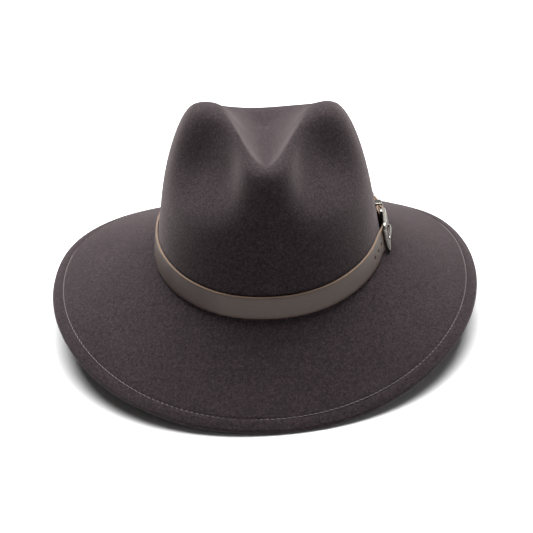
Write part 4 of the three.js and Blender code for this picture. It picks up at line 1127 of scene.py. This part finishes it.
# ---------------------------------------------------------------- silver pieces
def scroll_relief(along, across, reach, spacing=3.4):
    """Raised scrollwork: curls either side of a winding stem, 0 to 1. reach is half the width that it fills."""
    relief = np.clip(1 - np.abs(across - 0.32 * reach * np.sin(along * np.pi / spacing)) / (0.14 * reach), 0, 1)
    nearest = np.floor(along / spacing)
    for shift in (-1, 0, 1):
        cell = nearest + shift
        side = 1 - 2 * np.mod(cell, 2)
        x, y = along - (cell + 0.5) * spacing, across + side * 0.34 * reach
        radius = np.hypot(x, y)
        turn = np.arctan2(y * side, x)
        coil = 0.5 + 0.5 * np.cos(2 * np.pi * (radius / (0.34 * reach)) - turn)
        relief = np.maximum(relief, coil ** 1.5 * smoothstep((0.62 * reach - radius) / (0.16 * reach)))
        leaf_x, leaf_y = x - spacing * 0.42, y - side * 0.95 * reach
        leaf = 1 - ((leaf_x / (0.30 * spacing)) ** 2 + (leaf_y / (0.30 * reach)) ** 2)
        relief = np.maximum(relief, np.clip(leaf, 0, 1) ** 0.5 * (0.75 + 0.25 * np.cos(leaf_x * 9)))
    return np.clip(relief, 0, 1)


def bead_row(places, radius, heights):
    """Small beads along a line of points in band coordinates, flattened where they meet the metal."""
    points, faces, start = [], [], 0
    turn = np.linspace(0, 2 * np.pi, 10, endpoint=False)
    for place, high in zip(places, heights):
        rings = [np.stack([place[0] + radius * math.cos(lift) * np.cos(turn),
                           np.full(10, high + radius * 0.9 * math.sin(lift)),
                           place[1] + radius * math.cos(lift) * np.sin(turn)], -1)
                 for lift in np.radians([-35, -5, 25, 52, 76])]
        part, _ = grid_faces(5, 10)
        points.append(np.array(rings).reshape(-1, 3))
        faces += [tuple(corner + start for corner in face) for face in part.tolist()]
        faces += [tuple(start + corner for corner in range(10)), tuple(start + 40 + corner for corner in range(10))]
        start += 50
    return np.concatenate(points), faces


def frame_outline():
    """Middle line of the rails (along, up) from one lug round the front to the other, with half widths."""
    bottom, top = STRAP_BOTTOM - GAP - FRAME_SIDE, STRAP_TOP + GAP + FRAME_SIDE
    low, high, front = bottom + FRAME_SIDE / 2, top - FRAME_SIDE / 2, -FRAME_LENGTH + FRAME_RAIL / 2
    round_off = 3.0
    path = [(x, low) for x in np.linspace(2.4, front + round_off, 60)]
    path += [(front + round_off - round_off * math.sin(turn), low + round_off - round_off * math.cos(turn))
             for turn in np.linspace(0, np.pi / 2, 14)[1:]]
    path += [(front, z) for z in np.linspace(low + round_off, high - round_off, 50)[1:]]
    path += [(front + round_off - round_off * math.cos(turn), high - round_off + round_off * math.sin(turn))
             for turn in np.linspace(0, np.pi / 2, 14)[1:]]
    path += [(x, high) for x in np.linspace(front + round_off, 2.4, 60)[1:]]
    path = np.array(path)
    towards_front = smoothstep((-path[:, 0] - FRAME_LENGTH + 9.0) / 6.0)
    half = (FRAME_SIDE + (FRAME_RAIL - FRAME_SIDE) * towards_front) / 2
    return path, half


def make_frame_piece(silver):
    path, half = frame_outline()
    heading = np.gradient(path, axis=0)
    heading /= np.linalg.norm(heading, axis=1, keepdims=True)
    inwards = np.stack([-heading[:, 1], heading[:, 0]], -1)
    inwards *= np.sign((np.array([-10.0, STRAP_MIDDLE]) - path[100]) @ inwards[100])
    walked = np.concatenate([[0], np.cumsum(np.linalg.norm(np.diff(path, axis=0), axis=1))])
    top = RAIL_OUT + FRAME_THICK
    profile = [(-1.0, RAIL_OUT + 0.25, 0), (-1.0, top - 0.75, 0), (-0.94, top - 0.5, 0)]
    profile += [(share, None, 1) for share in np.linspace(-0.86, 0.86, 19)]
    profile += [(0.94, top - 0.5, 0), (1.0, top - 0.75, 0), (1.0, RAIL_OUT + 0.25, 0), (0.85, RAIL_OUT, 0), (-0.85, RAIL_OUT, 0)]
    rows, recess = [], []
    for share, off, is_face in profile:
        across = share * half
        place = path + inwards * across[:, None]
        if is_face:
            relief = scroll_relief(walked, across * 1.02, np.full(len(path), 1.0) * half.mean() * 0.78)
            fade = smoothstep((0.80 - abs(share)) / 0.10)
            high = top - 0.52 + 0.16 * (1 - share ** 2) + np.where(fade > 0, relief * 0.34 * fade, 0) + 0.22 * (1 - fade)
            recess.append((1 - relief) * fade)
        else:
            high = np.full(len(path), off)
            recess.append(np.zeros(len(path)))
        rows.append(np.stack([place[:, 0], high, place[:, 1]], -1))
    rows = np.array(rows)
    count = len(path)
    faces, _ = grid_faces(len(rows), count, rows_close=True, columns_close=False)
    faces = [tuple(face) for face in faces.tolist()]
    faces += [tuple(row * count for row in range(len(rows))), tuple(row * count + count - 1 for row in range(len(rows)))]
    points, recess = [rows.reshape(-1, 3)], [np.array(recess).reshape(-1)]
    start = rows.shape[0] * count

    def join(part, part_faces, shade=0.0):
        nonlocal start
        faces.extend(tuple(corner + start for corner in face) for face in part_faces)
        points.append(part)
        recess.append(np.full(len(part), shade))
        start += len(part)

    spots = np.arange(0.4, walked[-1], 0.86)
    outer = np.stack([np.interp(spots, walked, (path - inwards * (half - 0.28)[:, None])[:, axis]) for axis in (0, 1)], -1)
    join(*bead_row(outer, 0.40, np.full(len(spots), top - 0.22)))
    bottom, high = STRAP_BOTTOM - GAP - FRAME_SIDE, STRAP_TOP + GAP + FRAME_SIDE
    for low in (bottom, high - FRAME_SIDE):
        join(*rounded_block((-2.4, BAR_OUT - BAR_RADIUS, low + 0.01), (2.39, RAIL_OUT + 0.5, low + FRAME_SIDE - 0.01), 0.45), 0.3)
    bar = np.stack([np.zeros(30), np.full(30, BAR_OUT), np.linspace(bottom + 0.5, high - 0.5, 30)], -1)
    join(*tube(bar, BAR_RADIUS, 20), 0.2)
    piece = add_piece("frame", bend_round_crown(np.concatenate(points)), faces, [silver], recess=np.concatenate(recess))
    soften(piece, 55)
    stand_for(piece, "buckle", "silver", "buckle_frame")


def rounded_block(low, high, corner):
    """A block with its upright edges and its top and bottom edges taken off."""
    low, high = np.array(low, float), np.array(high, float)
    rows = []
    for level, inset in ((0, corner * 0.5), (0.5, 0), (1.0, 0), (1.5, 0), (2, corner * 0.5)):
        height = low[1] + (high[1] - low[1]) * level / 2 if level in (0, 1.0, 2) else (
            low[1] + corner * 0.5 if level == 0.5 else high[1] - corner * 0.5)
        ring = []
        for x, z, start in ((high[0], high[2], 0), (low[0], high[2], 90), (low[0], low[2], 180), (high[0], low[2], 270)):
            cx = x - math.copysign(corner + inset, x - (low[0] + high[0]) / 2)
            cz = z - math.copysign(corner + inset, z - (low[2] + high[2]) / 2)
            for turn in np.radians(np.linspace(start, start + 90, 4)):
                ring.append((cx + corner * math.cos(turn), height, cz + corner * math.sin(turn)))
        rows.append(ring)
    points = np.array(rows)
    faces, _ = grid_faces(5, 16)
    faces = [tuple(face) for face in faces.tolist()] + [tuple(range(16)), tuple(range(64, 80))]
    return points.reshape(-1, 3), faces


def make_tongue(silver):
    """One bent bar: an eye round the buckle's bar, up through the hole and along to the front rail."""
    rail = RAIL_OUT + FRAME_THICK + GAP + TONGUE_THICK / 2
    eye = BAR_RADIUS + GAP + 0.4
    path = [(eye * math.cos(turn), BAR_OUT + eye * math.sin(turn), 0.8, 1.0) for turn in np.radians(np.linspace(-165, 170, 24))]
    window = FRAME_LENGTH - FRAME_RAIL
    path += [(-2.6, BAR_OUT + 0.35, 1.1, 1.0), (-3.5, BAR_OUT + 0.55, 1.3, 1.0), (-4.4, BAR_OUT + 1.6, 1.5, 1.0),
             (-4.75, BAR_OUT + 3.4, 1.5, 1.0), (-5.7, rail + 0.3, 1.5, 1.0), (-8, rail + 0.65, 1.5, 1.0),
             (-window * 0.64, rail + 0.5, 1.45, 0.95), (-window * 0.9, rail + 0.15, 1.35, 0.85),
             (-FRAME_LENGTH + 2.2, rail, 1.2, 0.75), (-FRAME_LENGTH + 1.5, rail - 0.05, 0.8, 0.45)]
    stations = smooth_path(path, 0.5)
    heading = np.gradient(stations[:, :2], axis=0)
    heading /= np.linalg.norm(heading, axis=1, keepdims=True)
    sideways = np.stack([-heading[:, 1], heading[:, 0]], -1)
    turn = np.linspace(0, 2 * np.pi, 20, endpoint=False)
    across = signed_power(np.cos(turn), 0.55)
    through = signed_power(np.sin(turn), 0.7)
    points = np.array([np.stack([along + side[0] * thick / 2 * through, off + side[1] * thick / 2 * through,
                                 STRAP_MIDDLE + TONGUE_WIDTH / 2 * wide * across], -1)
                       for (along, off, thick, wide), side in zip(stations, sideways)])
    faces, _ = grid_faces(len(points), 20)
    last = (len(points) - 1) * 20
    faces = [tuple(face) for face in faces.tolist()] + [tuple(range(20)), tuple(range(last, last + 20))]
    recess = np.zeros(points.shape[0] * 20) + 0.15
    piece = add_piece("tongue", bend_round_crown(points.reshape(-1, 3)), faces, [silver], recess=recess)
    stand_for(piece, "tongue", "silver", "buckle_tongue")


def make_keeper(silver):
    """A loop of strip metal round both layers of the band, with scrollwork on its face and beaded rims."""
    outside = KEEPER_RUN_OUT + 1.5 * STRAP + 3 * GAP
    low, high = STRAP_BOTTOM - 0.4, STRAP_TOP + 0.4
    back = KEEPER_RUN_OUT - STRAP / 2 - GAP
    half_back, half_front = (back - GAP) / 2, 0.5
    corners = [(outside, low), (outside, high), (back, high), (back, low)]
    outer_corners = [(outside + 1, low - 1), (outside + 1, high + 1), (GAP, high + 1), (GAP, low - 1)]

    def walk(places, round_off, count):
        path = []
        for index, (off, up) in enumerate(places):
            before, after = np.array(places[index - 1]), np.array(places[(index + 1) % 4])
            here = np.array((off, up))
            enter = here + (before - here) / np.linalg.norm(before - here) * round_off
            leave = here + (after - here) / np.linalg.norm(after - here) * round_off
            following = after + (here - after) / np.linalg.norm(here - after) * round_off
            for share in np.linspace(0, 1, 7):
                path.append((1 - share) ** 2 * enter + 2 * share * (1 - share) * here + share ** 2 * leave)
            for share in np.linspace(0, 1, count)[1:-1]:
                path.append(leave + (following - leave) * share)
        return np.array(path)

    inner, outer = walk(corners, 0.25, 44), walk(outer_corners, 1.0, 44)
    count = len(outer)
    start_x, end_x = KEEPER_AT - KEEPER_LENGTH / 2, KEEPER_AT + KEEPER_LENGTH / 2
    rows, recess = [], []
    for x in (start_x + 0.2, *np.linspace(start_x + 0.45, end_x - 0.45, 27), end_x - 0.2):
        rise, shade = np.full(count, -0.05), np.zeros(count)
        if start_x + 0.4 < x < end_x - 0.4:
            front = smoothstep((outer[:, 0] - outside - 0.6) / 0.3)
            relief = scroll_relief(outer[:, 1] - STRAP_MIDDLE, np.full(count, (x - KEEPER_AT) * 0.98), np.full(count, 2.5), 4.6)
            fade = smoothstep((KEEPER_LENGTH / 2 - 0.9 - abs(x - KEEPER_AT)) / 0.3)
            rise = rise * (1 - front) + front * (-0.30 + 0.34 * relief * fade + 0.22 * (1 - fade))
            shade = front * (1 - relief) * fade
        centre = np.array([(outside + GAP) / 2, STRAP_MIDDLE])
        pushed = outer.copy()
        pushed[:, 0] += np.where(outer[:, 0] > outside, rise, 0)
        rows.append(np.stack([np.full(count, x), pushed[:, 0], pushed[:, 1]], -1))
        recess.append(shade)
    for x, spread in ((end_x, 0.25), (end_x, 0.75)):
        rows.append(np.stack([np.full(count, x), *(outer + (inner - outer) * spread).T], -1))
        recess.append(np.zeros(count))
    for x in (end_x - 0.2, start_x + 0.2):
        rows.append(np.stack([np.full(count, x), *inner.T], -1))
        recess.append(np.full(count, 0.6))
    for x, spread in ((start_x, 0.75), (start_x, 0.25)):
        rows.append(np.stack([np.full(count, x), *(outer + (inner - outer) * spread).T], -1))
        recess.append(np.zeros(count))
    rows = np.array(rows)
    faces, _ = grid_faces(len(rows), count, rows_close=True)
    faces = [tuple(face) for face in faces.tolist()]
    ups = np.arange(low + 0.1, high, 0.95)
    spots = np.concatenate([np.stack([np.full(len(ups), x), ups], -1) for x in (start_x + 0.5, end_x - 0.5)])
    beads, bead_faces = bead_row(spots, 0.42, np.full(len(spots), outside + 0.72))
    faces += [tuple(corner + rows.shape[0] * count for corner in face) for face in bead_faces]
    points = np.concatenate([rows.reshape(-1, 3), beads])
    recess = np.concatenate([np.array(recess).reshape(-1), np.zeros(len(beads))])
    piece = add_piece("keeper_ring", bend_round_crown(points), faces, [silver], recess=recess)
    soften(piece, 55)
    stand_for(piece, "keeper", "silver", "keeper_loop")


def tip_half_height(share):
    """Half the height of the strap tip along its length."""
    full = STRAP_WIDTH / 2 + GAP + 0.8
    pointed = np.clip((share - 0.56) / 0.44, 0, 1)
    return full * np.maximum(1 - pointed ** 2.1, 0.0) ** 0.62


def make_tip(silver):
    """A cap over the end of the strap: scrollwork face, beaded edge, side walls, open at the back."""
    low, high = LAP_OUT - STRAP / 2, LAP_OUT + STRAP / 2 + GAP + 0.8
    start = STRAP_END - 12
    shares = np.concatenate([np.linspace(0, 0.9, 60), 0.9 + 0.1 * np.sin(np.linspace(0, np.pi / 2, 14)[1:])])
    shares[-1] = 0.999
    half = np.maximum(tip_half_height(shares), 0.12)
    x = start + TIP_LENGTH * shares
    across = np.linspace(-1, 1, 61)
    grid_x, up = np.repeat(x[:, None], 61, 1), half[:, None] * across[None, :]
    margin = np.minimum(half[:, None] - np.abs(up), np.minimum(grid_x - start, start + TIP_LENGTH - grid_x))
    relief = scroll_relief(up + 40.0, (grid_x - start - 7.0) * 0.5, np.full(up.shape, 2.6), 4.4)
    relief = np.maximum(relief, scroll_relief(grid_x, np.abs(up) - 4.2, np.full(up.shape, 2.6), 4.4) * (np.abs(up) > 1.6))
    fade = smoothstep((margin - 1.1) / 0.5)
    rivets = np.min([np.hypot(grid_x - along, up) for along in TIP_RIVETS_AT], axis=0)
    clear = smoothstep((rivets - 2.1) / 0.5)
    face = high - 0.35 + 0.25 * fade * clear * relief + 0.20 * (1 - fade) - 0.35 * np.clip(1 - margin / 0.35, 0, 1) ** 2
    hole = rivets < 0.001
    recess = np.where(hole, 1, (1 - relief) * fade * clear * 0.9)
    top = np.stack([grid_x, face, STRAP_MIDDLE + up], -1)
    base = np.stack([grid_x, np.full(up.shape, high - 0.8), STRAP_MIDDLE + up * 0.97], -1)
    rows, columns = up.shape
    top_faces, _ = grid_faces(rows, columns, columns_close=False)
    faces = [tuple(face) for face in top_faces.tolist()]
    faces += [tuple(corner + rows * columns for corner in face) for face in top_faces.tolist()]
    rim = [(0, c) for c in range(columns)] + [(r, columns - 1) for r in range(1, rows)]
    rim += [(rows - 1, c) for c in range(columns - 2, -1, -1)] + [(r, 0) for r in range(rows - 2, 0, -1)]
    rim = [r * columns + c for r, c in rim]
    for here, beside in zip(rim, rim[1:] + rim[:1]):
        faces.append((here, beside, beside + rows * columns, here + rows * columns))
    points, shades, count = [top.reshape(-1, 3), base.reshape(-1, 3)], [recess.ravel(), np.full(rows * columns, 0.8)], 2 * rows * columns

    def join(part, part_faces, shade):
        nonlocal count
        faces.extend(tuple(corner + count for corner in face) for face in part_faces)
        points.append(part)
        shades.append(np.full(len(part), shade))
        count += len(part)

    edge = np.concatenate([np.stack([x, STRAP_MIDDLE - half], -1), np.stack([x, STRAP_MIDDLE + half], -1)[::-1]])
    inner = np.concatenate([np.stack([x, STRAP_MIDDLE - np.maximum(half - 0.75, 0.02)], -1),
                            np.stack([x, STRAP_MIDDLE + np.maximum(half - 0.75, 0.02)], -1)[::-1]])
    inner[:, 0] = np.minimum(inner[:, 0], start + TIP_LENGTH - 0.8)
    walls = []
    for line, off in ((edge, high - 0.75), (edge, low + 0.2), (edge * 0.98 + inner * 0.02, low), (inner, low), (inner, high - 0.85)):
        walls.append(np.stack([line[:, 0], np.full(len(line), off), line[:, 1]], -1))
    walls = np.array(walls)
    wall_faces, _ = grid_faces(5, len(edge), rows_close=True, columns_close=False)
    wall_faces = [tuple(face) for face in wall_faces.tolist()]
    wall_faces += [tuple(row * len(edge) for row in range(5)), tuple(row * len(edge) + len(edge) - 1 for row in range(5))]
    join(walls.reshape(-1, 3), wall_faces, 0.1)
    walked = np.concatenate([[0], np.cumsum(np.linalg.norm(np.diff(edge, axis=0), axis=1))])
    spots = np.arange(0.5, walked[-1], 0.95)
    middle = edge + (inner - edge) * 0.75
    line = np.stack([np.interp(spots, walked, middle[:, axis]) for axis in (0, 1)], -1)
    join(*bead_row(line, 0.42, np.full(len(line), high - 0.28)), 0.0)
    piece = add_piece("band_tip", bend_round_crown(np.concatenate(points)), faces, [silver], recess=np.concatenate(shades))
    soften(piece, 55)
    stand_for(piece, "hat", "silver", "strap_tip")


def make_rivet(name, along, inner, head_at, silver, cad_node):
    """Domed head with a turned rim, on its shank."""
    outline = [(0.02, inner), (RIVET_RADIUS * 0.8, inner), (RIVET_RADIUS, inner + 0.15), (RIVET_RADIUS, head_at),
               (RIVET_HEAD * 0.95, head_at), (RIVET_HEAD, head_at + 0.08), (RIVET_HEAD * 0.97, head_at + 0.22),
               (RIVET_HEAD * 0.82, head_at + 0.27), (RIVET_HEAD * 0.72, head_at + 0.22), (RIVET_HEAD * 0.62, head_at + 0.34),
               (RIVET_HEAD * 0.4, head_at + 0.46), (RIVET_HEAD * 0.2, head_at + 0.5), (0.02, head_at + 0.51)]
    turn = np.linspace(0, 2 * np.pi, 28, endpoint=False)
    rows = np.array([np.stack([along + radius * np.cos(turn), np.full(28, off), STRAP_MIDDLE + radius * np.sin(turn)], -1)
                     for radius, off in outline])
    faces, _ = grid_faces(len(rows), 28)
    last = (len(rows) - 1) * 28
    faces = [tuple(face) for face in faces.tolist()] + [tuple(range(28)), tuple(range(last, last + 28))]
    recess = np.repeat([0, 0, 0, 0.2, 0.2, 0, 0, 0.2, 0.9, 0.2, 0, 0, 0], 28)
    piece = add_piece(name, bend_round_crown(rows.reshape(-1, 3)), faces, [silver], recess=recess)
    stand_for(piece, "hat", "silver", cad_node)


# ---------------------------------------------------------------- the hat
def make_hat():
    fibres, grain, weave, wear = fibre_group(), grain_group(), weave_group(), wear_group()
    felt = felt_finish(fibres)
    band_leather = band_leather_finish(grain, wear)
    cut_edge = raw_edge_finish(fibres)
    silver = silver_finish(wear)
    thread = thread_finish(fibres)
    satin = satin_finish(weave)
    ribbon = ribbon_finish(weave, "dark_ribbon", from_srgb(34, 28, 29), from_srgb(58, 50, 51))
    tape = ribbon_finish(weave, "dark_binding_tape", from_srgb(44, 38, 35), from_srgb(72, 64, 60))

    rows, normals, outer_count = make_felt(felt)
    make_wire(wire_finish())
    make_stitches("brim_stitches", thread, 0.0, 1, "edge_thread_top")
    make_stitches("brim_stitches_below", thread, -2 * EDGE_RADIUS, -1, "edge_thread_bobbin")
    make_lining(satin, rows[:outer_count], normals, 29)
    make_sweatband(sweat_leather_finish(grain, wear), thread)
    make_reed(reed_finish(), tape)
    make_bow(ribbon)

    make_strap(band_leather, cut_edge)
    make_frame_piece(silver)
    make_tongue(silver)
    make_keeper(silver)
    make_tip(silver)
    make_rivet("rivet_at_fold", FOLD_RIVET_AT, 0.5, RUN_OUT + STRAP / 2 + GAP + STRAP_SKIVED + 0.2 + GAP, silver, "fold_rivet")
    for index, along in enumerate(TIP_RIVETS_AT, 1):
        make_rivet(f"rivet_at_tip_{index}", along, LAP_OUT - STRAP / 2 + GAP / 2, LAP_OUT + STRAP / 2 + 0.8 + 2 * GAP,
                   silver, f"tip_rivet_{index}")


studio_camera()
studio_lights()
studio_floor()
make_hat()
